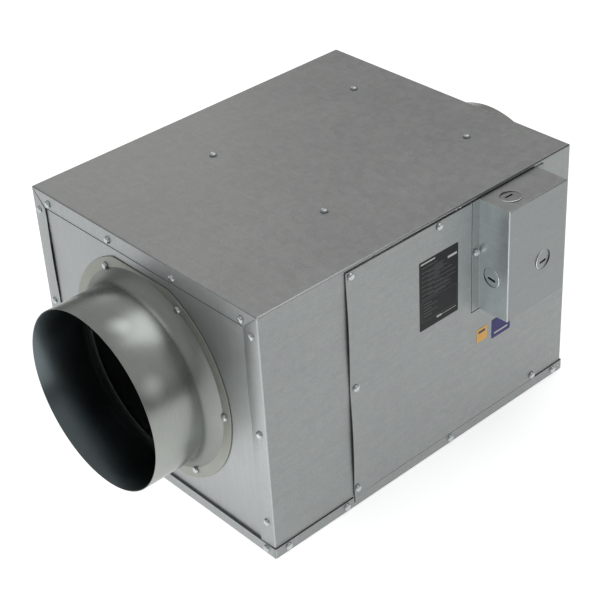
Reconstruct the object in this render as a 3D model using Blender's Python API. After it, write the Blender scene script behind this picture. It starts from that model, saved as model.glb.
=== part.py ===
"""Inline duct fan: a backward-curved motorised impeller in a galvanised cabinet with round duct collars.

Metres, +Z up. The origin is the middle of the cabinet's underside. Air runs along +X, from the inlet collar
to the outlet collar. -Y is the service side, with the access cover and the junction box.
"""

import math

import bmesh
import bpy
from mathutils import Matrix, Vector

SHEET = 0.001
GAP = 0.0003

# Cabinet
LENGTH = 0.432
WIDTH = 0.350
HEIGHT = 0.286
UPSTAND = 0.0128
FLANGE_SIDE = 0.020
FLANGE_TOP = 0.018
BEND_RADIUS = 0.0015
AXIS_Z = HEIGHT / 2

# Faces that follow from the sheets lying inside one another
WRAP_X = LENGTH / 2 - SHEET - GAP
WRAP_Y = WIDTH / 2 - SHEET - GAP
PANEL_X = WRAP_X - SHEET - GAP
INSIDE_Y = WRAP_Y - SHEET
INSIDE_TOP = HEIGHT - SHEET
LINING_Y = INSIDE_Y - GAP
LINING_TOP = INSIDE_TOP - GAP
LINING_BASE = SHEET + GAP

# Duct collars
COLLAR_RADIUS = 0.099
COLLAR_LENGTH = 0.072
COLLAR_FLARE = 0.010
COLLAR_FLARE_LENGTH = 0.0163
COLLAR_FLARE_STEPS = 3
COLLAR_FLANGE_RADIUS = 0.122
COLLAR_FLAT = 0.1143
COLLAR_SCREW_RADIUS = 0.113
PANEL_HOLE_RADIUS = 0.103
LINER_HOLE_RADIUS = 0.117
LINER = 0.010

# Service side: the access cover with a notch for the junction box
COVER_LEFT = -0.108
COVER_RIGHT = 0.170
COVER_BASE = UPSTAND + GAP
COVER_TOP = 0.2818
NOTCH_LEFT = 0.064
NOTCH_BASE = 0.1515
OPENING_LEFT = -0.092
OPENING_RIGHT = 0.152
OPENING_BASE = 0.028
OPENING_TOP = 0.264
OPENING_STEP_X = 0.056
OPENING_STEP_Z = 0.136
SLIT_RIGHT = 0.158
SLIT_BASE = 0.2822
SLIT_TOP = 0.2834
COVER_Y = WRAP_Y + GAP
COVER_SCREWS = ((-0.1015, 0.2765), (-0.1005, 0.147), (-0.1035, 0.0225), (0.0175, 0.2765), (0.164, 0.019))
LABEL_X = (-0.011, 0.044)
LABEL_Z = (0.1665, 0.2470)

# Junction box
BOX_LEFT = 0.0755
BOX_RIGHT = 0.1615
BOX_BASE = 0.1525
BOX_DEPTH = 0.0385
BOX_STRIP = 0.0105
BOX_SCREW_Z = 0.2225
KNOCKOUT_SLOT = (0.0085, 0.0022)
KNOCKOUT_FRONT = (0.128, 0.2015)
KNOCKOUT_LEFT = (-0.1909, 0.1945)
KNOCKOUT_TOP = (0.099, -0.192)

# Electrical parts in the junction box
GROMMET_X = 0.124
GROMMET_Z = 0.245
GROMMET_RADIUS = 0.010
GROMMET_HOLE_RADIUS = 0.008
GROMMET_LIP = 0.0022
TERMINAL_LOW = (0.135, -0.194, 0.185)
TERMINAL_HIGH = (0.157, -0.1740, 0.226)
TERMINAL_WAYS = 4
TERMINAL_WELL_RADIUS = 0.0019
TERMINAL_WELL_DEPTH = 0.006
TERMINAL_WELL_DROP = 0.010
CAPACITOR_X = 0.098
CAPACITOR_Y = -0.1905
CAPACITOR_Z = (0.1625, 0.2265)
CAPACITOR_RADIUS = 0.014
CAPACITOR_POST_RADIUS = 0.004
CAPACITOR_POST = 0.006
CLIP_Z = (0.1885, 0.2005)
CLIP_FOOT_X = 0.122
CLIP_OVERLAP = 0.0006

# Fan unit
BULKHEAD_X = -0.030
BULKHEAD_FLANGE = 0.036
BULKHEAD_HOLE_RADIUS = 0.099
HANGER_X = (-0.048, 0.156)
HANGER_Y = 0.084
BRACKET_X = 0.108
BRACKET_SHEET = 0.002
BRACKET_HALF_WIDTH = 0.100
BRACKET_TOP_FLANGE = 0.064
BRACKET_BASE_FLANGE = 0.042
BRACKET_WINDOW_Y = (0.008, 0.084)
BRACKET_WINDOW_MARGIN = 0.024
BRACKET_WINDOW_HEIGHT = 0.052
RING_RADIUS = 0.072
RING_CURVE = 0.025
RING_FLANGE_RADIUS = 0.112
WHEEL_RADIUS = 0.108
WHEEL_EYE_RADIUS = 0.0755
WHEEL_FRONT_X = -0.013
SHROUD_DEPTH = 0.024
SHROUD_SHEET = 0.002
BACK_PLATE_X = 0.060
BACK_PLATE = 0.002
BLADE_COUNT = 7
BLADE_SHEET = 0.0025
BLADE_ROOT_RADIUS = 0.060
BLADE_ROOT_WIDTH = 0.030
BLADE_OVERRUN = 0.005
BLADE_SWEEP = 52
BLADE_STEPS = 4
BELL_RADIUS = 0.046
BELL_WALL = 0.003
BELL_X = (0.026, 0.100)
BELL_FLANGE = 0.012
BELL_NOSE = 0.004
STATOR_X = (0.044, 0.088)
WINDING_ROUND = 0.006
HUB_RADIUS = 0.014
BEARING_RADIUS = 0.011
BEARING_WIDTH = 0.007
BEARING_X = (0.037, 0.092)
SHAFT_RADIUS = 0.004
MOTOR_FLANGE_RADIUS = 0.050
MOTOR_FLANGE = 0.004
MOTOR_SCREW_RADIUS = 0.042
LEAD_RADIUS = 0.003
LEAD_CLEARANCE = 0.002
LEAD_EXIT_Y = -0.027

# Backdraught damper in the outlet collar
DAMPER_X = 0.236
FLAP_RADIUS = 0.0955
FLAP_SHEET = 0.0008
SEAL_DEPTH = 0.003
SEAL_WIDTH = 0.006
PIN_RADIUS = 0.002
KNUCKLE_RADIUS = 0.0033
KNUCKLE_LENGTH = 0.020
KNUCKLE_PLACES = {"left": (-0.075, 0.045), "right": (-0.045, 0.075)}
SPRING_RADIUS = 0.0046
SPRING_WIRE = 0.0005
SPRING_TURNS = 3
SPRING_LENGTH = 0.010

# Screws
HEAD_RADIUS = 0.0043
HEAD_HEIGHT = 0.0026
SHANK_RADIUS = 0.0019
SHANK_LENGTH = 0.008
SCREW_HOLE_RADIUS = 0.0022
SCREW_SIDES = 8

# Facets round the turned pieces
DUCT_SIDES = 40
WHEEL_SIDES = 32
MOTOR_SIDES = 24
SMALL_SIDES = 20

# Axis directions: the axis of a turned shape or a prism, then the two directions across it.
FRAMES = {
    "X": (Vector((1, 0, 0)), Vector((0, 1, 0)), Vector((0, 0, 1))),
    "Y": (Vector((0, 1, 0)), Vector((0, 0, 1)), Vector((1, 0, 0))),
    "Z": (Vector((0, 0, 1)), Vector((1, 0, 0)), Vector((0, 1, 0))),
}


# ---------------------------------------------------------------- tools


def clear_scene():
    for thing in list(bpy.data.objects):
        bpy.data.objects.remove(thing, do_unlink=True)


def material(name, colour, roughness, metallic):
    made = bpy.data.materials.new(name)
    made.use_nodes = True
    shader = made.node_tree.nodes["Principled BSDF"]
    shader.inputs["Base Color"].default_value = (*colour, 1)
    shader.inputs["Roughness"].default_value = roughness
    shader.inputs["Metallic"].default_value = metallic
    return made


def add_block(mesh, low, high):
    """A closed cuboid between two corners."""
    corners = bmesh.ops.create_cube(mesh, size=1)["verts"]
    low, high = Vector(low), Vector(high)
    for corner in corners:
        corner.co = Vector((low[i] + (corner.co[i] + 0.5) * (high[i] - low[i]) for i in range(3)))
    return corners


def add_prism(mesh, outline, axis, start, end):
    """A flat outline, given in the two directions across the axis, extruded from start to end along it."""
    along, across, up = FRAMES[axis]
    rings = []
    for place in (start, end):
        rings.append([mesh.verts.new(along * place + across * a + up * b) for a, b in outline])
    mesh.faces.new(rings[0])
    mesh.faces.new(rings[1])
    count = len(outline)
    for i in range(count):
        j = (i + 1) % count
        mesh.faces.new((rings[0][i], rings[0][j], rings[1][j], rings[1][i]))


def add_turned(mesh, profile, axis, centre, segments):
    """A closed profile of (place along the axis, radius) turned about the axis through the centre."""
    along, across, up = FRAMES[axis]
    centre = Vector(centre)
    columns = []
    for place, radius in profile:
        middle = centre + along * place
        if radius == 0:
            columns.append([mesh.verts.new(middle)] * segments)
            continue
        ring = []
        for i in range(segments):
            angle = 2 * math.pi * i / segments
            ring.append(mesh.verts.new(middle + radius * (across * math.cos(angle) + up * math.sin(angle))))
        columns.append(ring)
    for first, second in zip(columns, columns[1:] + columns[:1]):
        for i in range(segments):
            j = (i + 1) % segments
            corners = (first[i], first[j], second[j], second[i])
            distinct = list(dict.fromkeys(corners))
            if len(distinct) > 2:
                mesh.faces.new(distinct)


def add_hole(mesh, axis, centre, radius, depth, segments=SCREW_SIDES):
    """A plain cylinder for cutting, centred on a point."""
    profile = ((-depth / 2, 0), (-depth / 2, radius), (depth / 2, radius), (depth / 2, 0))
    add_turned(mesh, profile, axis, centre, segments)


def link(name, mesh):
    bmesh.ops.recalc_face_normals(mesh, faces=mesh.faces)
    data = bpy.data.meshes.new(name)
    mesh.to_mesh(data)
    mesh.free()
    made = bpy.data.objects.new(name, data)
    bpy.context.scene.collection.objects.link(made)
    return made


def piece(name, mesh, finish, smooth=False):
    made = link(name, mesh)
    made.data.materials.append(finish)
    if smooth:
        made.data.shade_smooth()
        made.data.set_sharp_from_angle(angle=math.radians(35))
    return made


def boolean(target, operation, name, build, *values):
    """Joins, cuts or intersects a piece with the shapes that build(mesh, *values) adds."""
    mesh = bmesh.new()
    build(mesh, *values)
    tool = link(f"{target.name}_{name}", mesh)
    tool.hide_render = True
    tool.display_type = "WIRE"
    step = target.modifiers.new(name, "BOOLEAN")
    step.operation = operation
    step.object = tool
    step.solver = "EXACT"


def cut(target, name, build, *values):
    boolean(target, "DIFFERENCE", name, build, *values)


def join(target, name, build, *values):
    boolean(target, "UNION", name, build, *values)


def arc(centre, radius, start, end, steps):
    """Points on an arc, with angles in degrees."""
    points = []
    for i in range(steps + 1):
        angle = math.radians(start + (end - start) * i / steps)
        points.append((centre[0] + radius * math.cos(angle), centre[1] + radius * math.sin(angle)))
    return points


def add_holes(mesh, axis, centres, radius, depth):
    for centre in centres:
        add_hole(mesh, axis, centre, radius, depth)


def joint_axis(name, place):
    """The empty that moving pieces hang on, at a point of their joint's axis."""
    empty = bpy.data.objects.new(name, None)
    empty.location = place
    bpy.context.scene.collection.objects.link(empty)
    return empty


def hang(made, empty):
    """Gives a piece its origin at the empty, and parents it there."""
    made.data.transform(Matrix.Translation(-empty.location))
    made.parent = empty


def screw(name, axis, direction, seat, finish):
    """A pan-head screw whose head lies outside the seat, a small gap off it, with its shank going in."""
    mesh = bmesh.new()
    outward = (
        (-SHANK_LENGTH, 0),
        (-SHANK_LENGTH * 0.8, SHANK_RADIUS),
        (GAP, SHANK_RADIUS),
        (GAP, HEAD_RADIUS),
        (GAP + HEAD_HEIGHT * 0.55, HEAD_RADIUS * 0.93),
        (GAP + HEAD_HEIGHT, HEAD_RADIUS * 0.45),
        (GAP + HEAD_HEIGHT, 0),
    )
    profile = [(direction * place, radius) for place, radius in outward]
    add_turned(mesh, profile, axis, seat, SCREW_SIDES)
    return piece(name, mesh, finish, smooth=True)


# ---------------------------------------------------------------- cabinet


def make_base_tray(finish):
    mesh = bmesh.new()
    add_block(mesh, (-LENGTH / 2, -WIDTH / 2, 0), (LENGTH / 2, WIDTH / 2, UPSTAND))
    tray = piece("base_tray", mesh, finish)
    inner_x, inner_y = LENGTH / 2 - SHEET, WIDTH / 2 - SHEET
    cut(tray, "inside", add_block, (-inner_x, -inner_y, SHEET), (inner_x, inner_y, UPSTAND * 2))


def cover_opening(mesh):
    """The L-shaped opening behind the access cover, and the slit above it."""
    outline = (
        (OPENING_BASE, OPENING_LEFT),
        (OPENING_BASE, OPENING_RIGHT),
        (OPENING_STEP_Z, OPENING_RIGHT),
        (OPENING_STEP_Z, OPENING_STEP_X),
        (OPENING_TOP, OPENING_STEP_X),
        (OPENING_TOP, OPENING_LEFT),
    )
    add_prism(mesh, outline, "Y", -WIDTH / 2 - SHEET, -INSIDE_Y + SHEET)
    add_block(mesh, (COVER_LEFT, -WIDTH / 2 - SHEET, SLIT_BASE), (SLIT_RIGHT, -INSIDE_Y + SHEET, SLIT_TOP))


def end_windows(mesh):
    """The cabinet's open ends, inside the wrapper's flanges."""
    for side in (-1, 1):
        near, far = sorted((side * (WRAP_X - 2 * SHEET), side * (WRAP_X + SHEET)))
        low = (near, FLANGE_SIDE - WRAP_Y, -SHEET)
        high = (far, WRAP_Y - FLANGE_SIDE, HEIGHT - FLANGE_TOP)
        add_block(mesh, low, high)


def mitre_slits(mesh):
    """Thin diagonal cuts that part the top flange from the side flanges."""
    for end in (-1, 1):
        near, far = sorted((end * (WRAP_X - 1.5 * SHEET), end * (WRAP_X + SHEET)))
        for side in (-1, 1):
            inner = Vector((side * (WRAP_Y - FLANGE_SIDE - SHEET), HEIGHT - FLANGE_TOP - SHEET))
            outer = Vector((side * (WRAP_Y - 1.2 * SHEET), HEIGHT - 1.2 * SHEET))
            across = (outer - inner).orthogonal().normalized() * SHEET * 0.3
            outline = (inner - across, inner + across, outer + across, outer - across)
            add_prism(mesh, outline, "X", near, far)


def hanger_places():
    return [(x, y, HEIGHT) for x in HANGER_X for y in (-HANGER_Y, HANGER_Y)]


def cover_screw_places():
    return [(x, -COVER_Y - SHEET, z) for x, z in COVER_SCREWS]


def box_screw_places():
    left = BOX_LEFT - BOX_STRIP / 2
    right = BOX_RIGHT + BOX_STRIP / 2
    return [(x, -COVER_Y - SHEET, BOX_SCREW_Z) for x in (left, right)]


def grommet_place():
    return Vector((GROMMET_X, -WRAP_Y + SHEET / 2, GROMMET_Z))


def make_wrapper(finish):
    """Top and two sides from one folded sheet, with flanges turned in round both ends."""
    mesh = bmesh.new()
    add_block(mesh, (-WRAP_X, -WRAP_Y, LINING_BASE), (WRAP_X, WRAP_Y, HEIGHT))
    bends = [edge for edge in mesh.edges if max(v.co.z for v in edge.verts) > HEIGHT - GAP]
    bmesh.ops.bevel(mesh, geom=bends, offset=BEND_RADIUS, segments=2, profile=0.5, affect="EDGES")
    wrapper = piece("casing_wrapper", mesh, finish)
    inner_x = WRAP_X - SHEET
    cut(wrapper, "inside", add_block, (-inner_x, -INSIDE_Y, -SHEET), (inner_x, INSIDE_Y, INSIDE_TOP))
    cut(wrapper, "ends", end_windows)
    cut(wrapper, "mitres", mitre_slits)
    cut(wrapper, "opening", cover_opening)
    side_screws = cover_screw_places() + box_screw_places()
    cut(wrapper, "side_holes", add_holes, "Y", side_screws, SCREW_HOLE_RADIUS, SHEET * 8)
    cut(wrapper, "top_holes", add_holes, "Z", hanger_places(), SCREW_HOLE_RADIUS, SHEET * 4)
    cut(wrapper, "lead_hole", add_hole, "Y", grommet_place(), GROMMET_HOLE_RADIUS, SHEET * 4, SMALL_SIDES)


def collar_screw_places(side):
    places = []
    for i in range(6):
        angle = math.radians(60 * i)
        y = COLLAR_SCREW_RADIUS * math.cos(angle)
        z = AXIS_Z + COLLAR_SCREW_RADIUS * math.sin(angle)
        places.append((side * WRAP_X, y, z))
    return places


def make_end_panel(name, side, finish):
    """The plate behind the wrapper's end flanges, with the duct opening."""
    mesh = bmesh.new()
    near, far = sorted((side * PANEL_X, side * (PANEL_X - SHEET)))
    add_block(mesh, (near, -LINING_Y, LINING_BASE), (far, LINING_Y, LINING_TOP))
    panel = piece(name, mesh, finish)
    centre = (side * PANEL_X, 0, AXIS_Z)
    cut(panel, "duct_hole", add_hole, "X", centre, PANEL_HOLE_RADIUS, SHEET * 8, DUCT_SIDES)
    cut(panel, "screw_holes", add_holes, "X", collar_screw_places(side), SCREW_HOLE_RADIUS, SHEET * 12)


def collar_flats(mesh, side):
    """Blocks above and below the collar's flange, which is cut flat there."""
    for direction in (-1, 1):
        low_z, high_z = sorted((AXIS_Z + direction * COLLAR_FLAT, AXIS_Z + direction * 2 * COLLAR_FLAT))
        near, far = sorted((side * (PANEL_X - SHEET), side * (WRAP_X + 4 * SHEET)))
        add_block(mesh, (near, -COLLAR_FLANGE_RADIUS, low_z), (far, COLLAR_FLANGE_RADIUS, high_z))


def make_collar(name, side, finish):
    """A spun spigot: straight tube, flare at its root, and a flat flange with two flats."""
    tube_end = LENGTH / 2 + COLLAR_LENGTH
    outer, inner = [], []
    for step in range(COLLAR_FLARE_STEPS + 1):
        share = step / COLLAR_FLARE_STEPS
        x = WRAP_X + COLLAR_FLARE_LENGTH * (1 - share)
        radius = COLLAR_RADIUS + COLLAR_FLARE * share**2
        outer.append((x, radius))
        inner.append((x - SHEET * share, radius - SHEET * (1 - share)))
    rim = [(WRAP_X, COLLAR_FLANGE_RADIUS), (WRAP_X - SHEET, COLLAR_FLANGE_RADIUS)]
    inside_end = [(tube_end, COLLAR_RADIUS - SHEET), (tube_end, COLLAR_RADIUS)]
    profile = [(side * x, radius) for x, radius in outer + rim + inner[::-1] + inside_end]
    mesh = bmesh.new()
    add_turned(mesh, profile, "X", (0, 0, AXIS_Z), DUCT_SIDES)
    collar = piece(name, mesh, finish, smooth=True)
    cut(collar, "flats", collar_flats, side)
    cut(collar, "screw_holes", add_holes, "X", collar_screw_places(side), SCREW_HOLE_RADIUS, SHEET * 8)


def make_end_liner(name, side, finish):
    """Black acoustic foam on the inside of an end panel."""
    mesh = bmesh.new()
    outer = PANEL_X - SHEET - GAP
    near, far = sorted((side * outer, side * (outer - LINER)))
    add_block(mesh, (near, -LINING_Y, LINING_BASE), (far, LINING_Y, LINING_TOP))
    liner = piece(name, mesh, finish)
    centre = (side * outer, 0, AXIS_Z)
    cut(liner, "duct_hole", add_hole, "X", centre, LINER_HOLE_RADIUS, LINER * 4, WHEEL_SIDES)


def make_back_liner(finish):
    """Black acoustic foam on the back wall, from the bulkhead to the outlet liner."""
    mesh = bmesh.new()
    end = PANEL_X - SHEET - 2 * GAP - LINER
    add_block(mesh, (BULKHEAD_X + GAP, LINING_Y - LINER, LINING_BASE), (end, LINING_Y, LINING_TOP))
    piece("back_liner", mesh, finish)


def make_access_cover(finish):
    outline = (
        (COVER_BASE, COVER_LEFT),
        (COVER_BASE, COVER_RIGHT),
        (NOTCH_BASE, COVER_RIGHT),
        (NOTCH_BASE, NOTCH_LEFT),
        (COVER_TOP, NOTCH_LEFT),
        (COVER_TOP, COVER_LEFT),
    )
    mesh = bmesh.new()
    add_prism(mesh, outline, "Y", -COVER_Y - SHEET, -COVER_Y)
    cover = piece("access_cover", mesh, finish)
    cut(cover, "screw_holes", add_holes, "Y", cover_screw_places(), SCREW_HOLE_RADIUS, SHEET * 8)
    return cover


def make_rating_label(finish):
    mesh = bmesh.new()
    face = COVER_Y + SHEET + GAP
    add_block(mesh, (LABEL_X[0], -face - GAP, LABEL_Z[0]), (LABEL_X[1], -face, LABEL_Z[1]))
    return piece("rating_label", mesh, finish)


# ---------------------------------------------------------------- electrical parts


def knockout_slots(mesh):
    """The pry slots of three knockouts: in the front, in the left side and in the top of the box."""
    length, width = KNOCKOUT_SLOT
    front = (KNOCKOUT_FRONT[0], -COVER_Y - BOX_DEPTH, KNOCKOUT_FRONT[1])
    left = (BOX_LEFT, *KNOCKOUT_LEFT)
    top = (*KNOCKOUT_TOP, COVER_TOP)
    for centre, size in (
        (front, (length, 4 * SHEET, width)),
        (left, (4 * SHEET, length, width)),
        (top, (length, width, 4 * SHEET)),
    ):
        half = Vector(size) / 2
        add_block(mesh, Vector(centre) - half, Vector(centre) + half)


def make_junction_box(finish):
    """A five-sided box, open towards the cabinet, with a screw strip down each side."""
    mesh = bmesh.new()
    add_block(mesh, (BOX_LEFT, -WIDTH / 2 - BOX_DEPTH, BOX_BASE), (BOX_RIGHT, -COVER_Y, COVER_TOP))
    box = piece("junction_box", mesh, finish)
    strip_low = (BOX_LEFT - BOX_STRIP, -COVER_Y - SHEET, BOX_BASE)
    strip_high = (BOX_RIGHT + BOX_STRIP, -COVER_Y, COVER_TOP)
    join(box, "strips", add_block, strip_low, strip_high)
    inside_low = (BOX_LEFT + SHEET, -WIDTH / 2 - BOX_DEPTH + SHEET, BOX_BASE + SHEET)
    inside_high = (BOX_RIGHT - SHEET, -COVER_Y + SHEET, COVER_TOP - SHEET)
    cut(box, "inside", add_block, inside_low, inside_high)
    cut(box, "knockout_slots", knockout_slots)
    cut(box, "screw_holes", add_holes, "Y", box_screw_places(), SCREW_HOLE_RADIUS, SHEET * 8)
    return box


def make_terminal_block(finish):
    low, high = Vector(TERMINAL_LOW), Vector(TERMINAL_HIGH)
    mesh = bmesh.new()
    add_block(mesh, low, high)
    block = piece("terminal_block", mesh, finish)
    pitch = (high.x - low.x) / TERMINAL_WAYS
    wells = [(low.x + pitch * (i + 0.5), low.y, high.z - TERMINAL_WELL_DROP) for i in range(TERMINAL_WAYS)]
    cut(block, "screw_wells", add_holes, "Y", wells, TERMINAL_WELL_RADIUS, 2 * TERMINAL_WELL_DEPTH)


def make_capacitor(finish):
    """A can with chamfered edges and one post on top."""
    base, top = CAPACITOR_Z
    chamfer = 0.001
    profile = (
        (base, 0),
        (base, CAPACITOR_RADIUS - chamfer),
        (base + chamfer, CAPACITOR_RADIUS),
        (top - chamfer, CAPACITOR_RADIUS),
        (top, CAPACITOR_RADIUS - chamfer),
        (top, CAPACITOR_POST_RADIUS),
        (top + CAPACITOR_POST, CAPACITOR_POST_RADIUS),
        (top + CAPACITOR_POST, 0),
    )
    mesh = bmesh.new()
    add_turned(mesh, profile, "Z", (CAPACITOR_X, CAPACITOR_Y, 0), SMALL_SIDES)
    piece("run_capacitor", mesh, finish, smooth=True)


def make_capacitor_clip(finish):
    """A spring band round the capacitor with one foot on the cabinet's side."""
    low, high = CLIP_Z
    inner = CAPACITOR_RADIUS + GAP
    outer = inner + SHEET
    profile = ((low, inner), (high, inner), (high, outer), (low, outer))
    mesh = bmesh.new()
    add_turned(mesh, profile, "Z", (CAPACITOR_X, CAPACITOR_Y, 0), SMALL_SIDES)
    clip = piece("capacitor_clip", mesh, finish, smooth=True)
    foot_face = CAPACITOR_Y + outer - CLIP_OVERLAP
    join(clip, "foot", add_block, (CAPACITOR_X, foot_face, low), (CLIP_FOOT_X, -COVER_Y - GAP, high))


def make_grommet(finish):
    """A rubber grommet in the cabinet's side, round the motor lead."""
    face = SHEET / 2 + GAP
    end = face + GROMMET_LIP
    bore, neck, shoulder = LEAD_RADIUS + GAP, GROMMET_HOLE_RADIUS - GAP, GROMMET_RADIUS - 0.001
    profile = (
        (-end, bore),
        (-end, shoulder),
        (-face, GROMMET_RADIUS),
        (-face, neck),
        (face, neck),
        (face, GROMMET_RADIUS),
        (end, shoulder),
        (end, bore),
    )
    mesh = bmesh.new()
    add_turned(mesh, profile, "Y", grommet_place(), SMALL_SIDES)
    piece("lead_grommet", mesh, finish, smooth=True)


def spline_points(route, steps):
    """A smooth curve through the route's points."""
    padded = [2 * route[0] - route[1], *route, 2 * route[-1] - route[-2]]
    points = []
    for a, b, c, d in zip(padded, padded[1:], padded[2:], padded[3:]):
        for i in range(steps):
            t = i / steps
            cubic = (3 * b - a - 3 * c + d) * t**3
            points.append((2 * b + (c - a) * t + (2 * a - 5 * b + 4 * c - d) * t**2 + cubic) / 2)
    points.append(route[-1])
    return points


def make_motor_lead(finish):
    """The motor's lead: out of the stator, behind the bracket, through the grommet to the terminal block."""
    grommet = grommet_place()
    route = [
        Vector((0.1015, LEAD_EXIT_Y, AXIS_Z)),
        Vector((0.114, LEAD_EXIT_Y, AXIS_Z)),
        Vector((0.126, -0.036, 0.150)),
        Vector((0.132, -0.066, 0.176)),
        Vector((0.131, -0.104, 0.212)),
        Vector((0.127, -0.136, 0.237)),
        grommet + Vector((0, 0.018, 0)),
        grommet,
        grommet + Vector((0, -0.008, 0)),
        Vector((0.129, -0.1870, 0.2440)),
        Vector((0.138, -0.1875, 0.2425)),
        Vector((0.1445, -0.1865, 0.2365)),
        Vector((0.146, -0.186, 0.2310)),
        Vector((0.146, -0.186, 0.2264)),
    ]
    data = bpy.data.curves.new("motor_lead", "CURVE")
    data.dimensions = "3D"
    data.bevel_depth = LEAD_RADIUS
    data.bevel_resolution = 2
    data.use_fill_caps = True
    spline = data.splines.new("POLY")
    points = spline_points(route, 3)
    spline.points.add(len(points) - 1)
    for point, place in zip(spline.points, points):
        point.co = (*place, 1)
    data.materials.append(finish)
    bpy.context.scene.collection.objects.link(bpy.data.objects.new("motor_lead", data))


# ---------------------------------------------------------------- fan unit


def make_bulkhead(finish):
    """The wall between the inlet and the fan, hung from two screws through its top flange."""
    back, front = BULKHEAD_X, BULKHEAD_X - SHEET
    edge = BULKHEAD_X - BULKHEAD_FLANGE
    outline = (
        (LINING_BASE, edge),
        (LINING_BASE, back),
        (LINING_TOP, back),
        (LINING_TOP, edge),
        (LINING_TOP - SHEET, edge),
        (LINING_TOP - SHEET, front),
        (LINING_BASE + SHEET, front),
        (LINING_BASE + SHEET, edge),
    )
    mesh = bmesh.new()
    add_prism(mesh, outline, "Y", -LINING_Y, LINING_Y)
    bulkhead = piece("bulkhead", mesh, finish)
    centre = (back, 0, AXIS_Z)
    cut(bulkhead, "inlet_hole", add_hole, "X", centre, BULKHEAD_HOLE_RADIUS, SHEET * 8, WHEEL_SIDES)
    front_hangers = [place for place in hanger_places() if place[0] < 0]
    cut(bulkhead, "hanger_holes", add_holes, "Z", front_hangers, SCREW_HOLE_RADIUS, SHEET * 8)


def make_inlet_ring(finish):
    """The bellmouth on the bulkhead that leads the air into the impeller's eye."""
    face = BULKHEAD_X - SHEET - GAP
    centre = (face - SHEET + RING_CURVE, RING_RADIUS + RING_CURVE)
    wet = arc(centre, RING_CURVE, 180, 270, 4)
    dry = arc(centre, RING_CURVE - SHEET, 270, 180, 4)
    rim = [(face, RING_FLANGE_RADIUS), (face - SHEET, RING_FLANGE_RADIUS)]
    mesh = bmesh.new()
    add_turned(mesh, wet + dry + rim, "X", (0, 0, AXIS_Z), WHEEL_SIDES)
    piece("inlet_ring", mesh, finish, smooth=True)


def shroud_point(degrees, offset=0.0):
    """A point of the impeller's front shroud, from its eye (0 degrees) to its rim (90 degrees).

    The offset goes from the wet face into the shroud's thickness.
    """
    angle = math.radians(degrees)
    across = WHEEL_RADIUS - WHEEL_EYE_RADIUS
    x = WHEEL_FRONT_X + (SHROUD_DEPTH - offset) * math.sin(angle)
    return x, WHEEL_RADIUS - (across - offset) * math.cos(angle)


def add_blades(mesh):
    """Backward-curved blades as plain prisms, longer than the wheel is wide."""
    start = BLADE_ROOT_RADIUS - BLADE_OVERRUN
    reach = WHEEL_RADIUS - BLADE_ROOT_RADIUS + BLADE_OVERRUN
    for i in range(BLADE_COUNT):
        turn = 360 * i / BLADE_COUNT
        outer, inner = [], []
        for step in range(BLADE_STEPS + 1):
            share = step / BLADE_STEPS
            radius = start + reach * share
            angle = math.radians(turn + BLADE_SWEEP * share**1.25)
            half = BLADE_SHEET / 2 / radius
            outer.append((radius * math.cos(angle + half), AXIS_Z + radius * math.sin(angle + half)))
            inner.append((radius * math.cos(angle - half), AXIS_Z + radius * math.sin(angle - half)))
        end = BACK_PLATE_X + BACK_PLATE / 2
        add_prism(mesh, outer + inner[::-1], "X", WHEEL_FRONT_X - BLADE_OVERRUN, end)


def add_flow_space(mesh):
    """The space between shroud and back plate that the blades fill."""
    shroud = [shroud_point(degrees, SHROUD_SHEET / 2) for degrees in range(40, 90, 16)]
    beyond = BACK_PLATE_X + 2 * BLADE_OVERRUN
    tip = WHEEL_RADIUS - 0.001
    profile = [
        (BACK_PLATE_X - BLADE_ROOT_WIDTH, BLADE_ROOT_RADIUS),
        *shroud,
        (shroud[-1][0], tip),
        (beyond, tip),
        (beyond, BLADE_ROOT_RADIUS),
    ]
    add_turned(mesh, profile, "X", (0, 0, AXIS_Z), WHEEL_SIDES)


def add_shroud(mesh):
    wet = [shroud_point(degrees) for degrees in range(0, 91, 18)]
    dry = [shroud_point(degrees, SHROUD_SHEET) for degrees in range(90, -1, -18)]
    add_turned(mesh, wet + dry, "X", (0, 0, AXIS_Z), WHEEL_SIDES)


def add_back_plate(mesh):
    bore = BELL_RADIUS + GAP
    profile = (
        (BACK_PLATE_X, bore),
        (BACK_PLATE_X + BACK_PLATE, bore),
        (BACK_PLATE_X + BACK_PLATE, WHEEL_RADIUS),
        (BACK_PLATE_X, WHEEL_RADIUS),
    )
    add_turned(mesh, profile, "X", (0, 0, AXIS_Z), WHEEL_SIDES)


def make_impeller(finish, rotor_axis):
    mesh = bmesh.new()
    add_blades(mesh)
    impeller = piece("impeller", mesh, finish, smooth=True)
    hang(impeller, rotor_axis)
    boolean(impeller, "INTERSECT", "flow_space", add_flow_space)
    join(impeller, "shroud", add_shroud)
    join(impeller, "back_plate", add_back_plate)


def make_rotor_bell(finish, rotor_axis):
    """The motor's outer rotor: a cup open to the rear, with a flange that carries the impeller."""
    front, rear = BELL_X
    inner = BELL_RADIUS - BELL_WALL
    bore = SHAFT_RADIUS + GAP
    flange_x = BACK_PLATE_X + BACK_PLATE + GAP
    flange_radius = BELL_RADIUS + BELL_FLANGE
    profile = (
        (front, bore),
        (front + BELL_WALL + 0.001, bore),
        (front + BELL_WALL + 0.001, inner),
        (rear, inner),
        (rear, BELL_RADIUS),
        (flange_x + BELL_WALL, BELL_RADIUS),
        (flange_x + BELL_WALL, flange_radius),
        (flange_x, flange_radius),
        (flange_x, BELL_RADIUS),
        (front + BELL_NOSE, BELL_RADIUS),
        (front, BELL_RADIUS - BELL_NOSE),
    )
    mesh = bmesh.new()
    add_turned(mesh, profile, "X", (0, 0, AXIS_Z), MOTOR_SIDES)
    hang(piece("rotor_bell", mesh, finish, smooth=True), rotor_axis)


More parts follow.
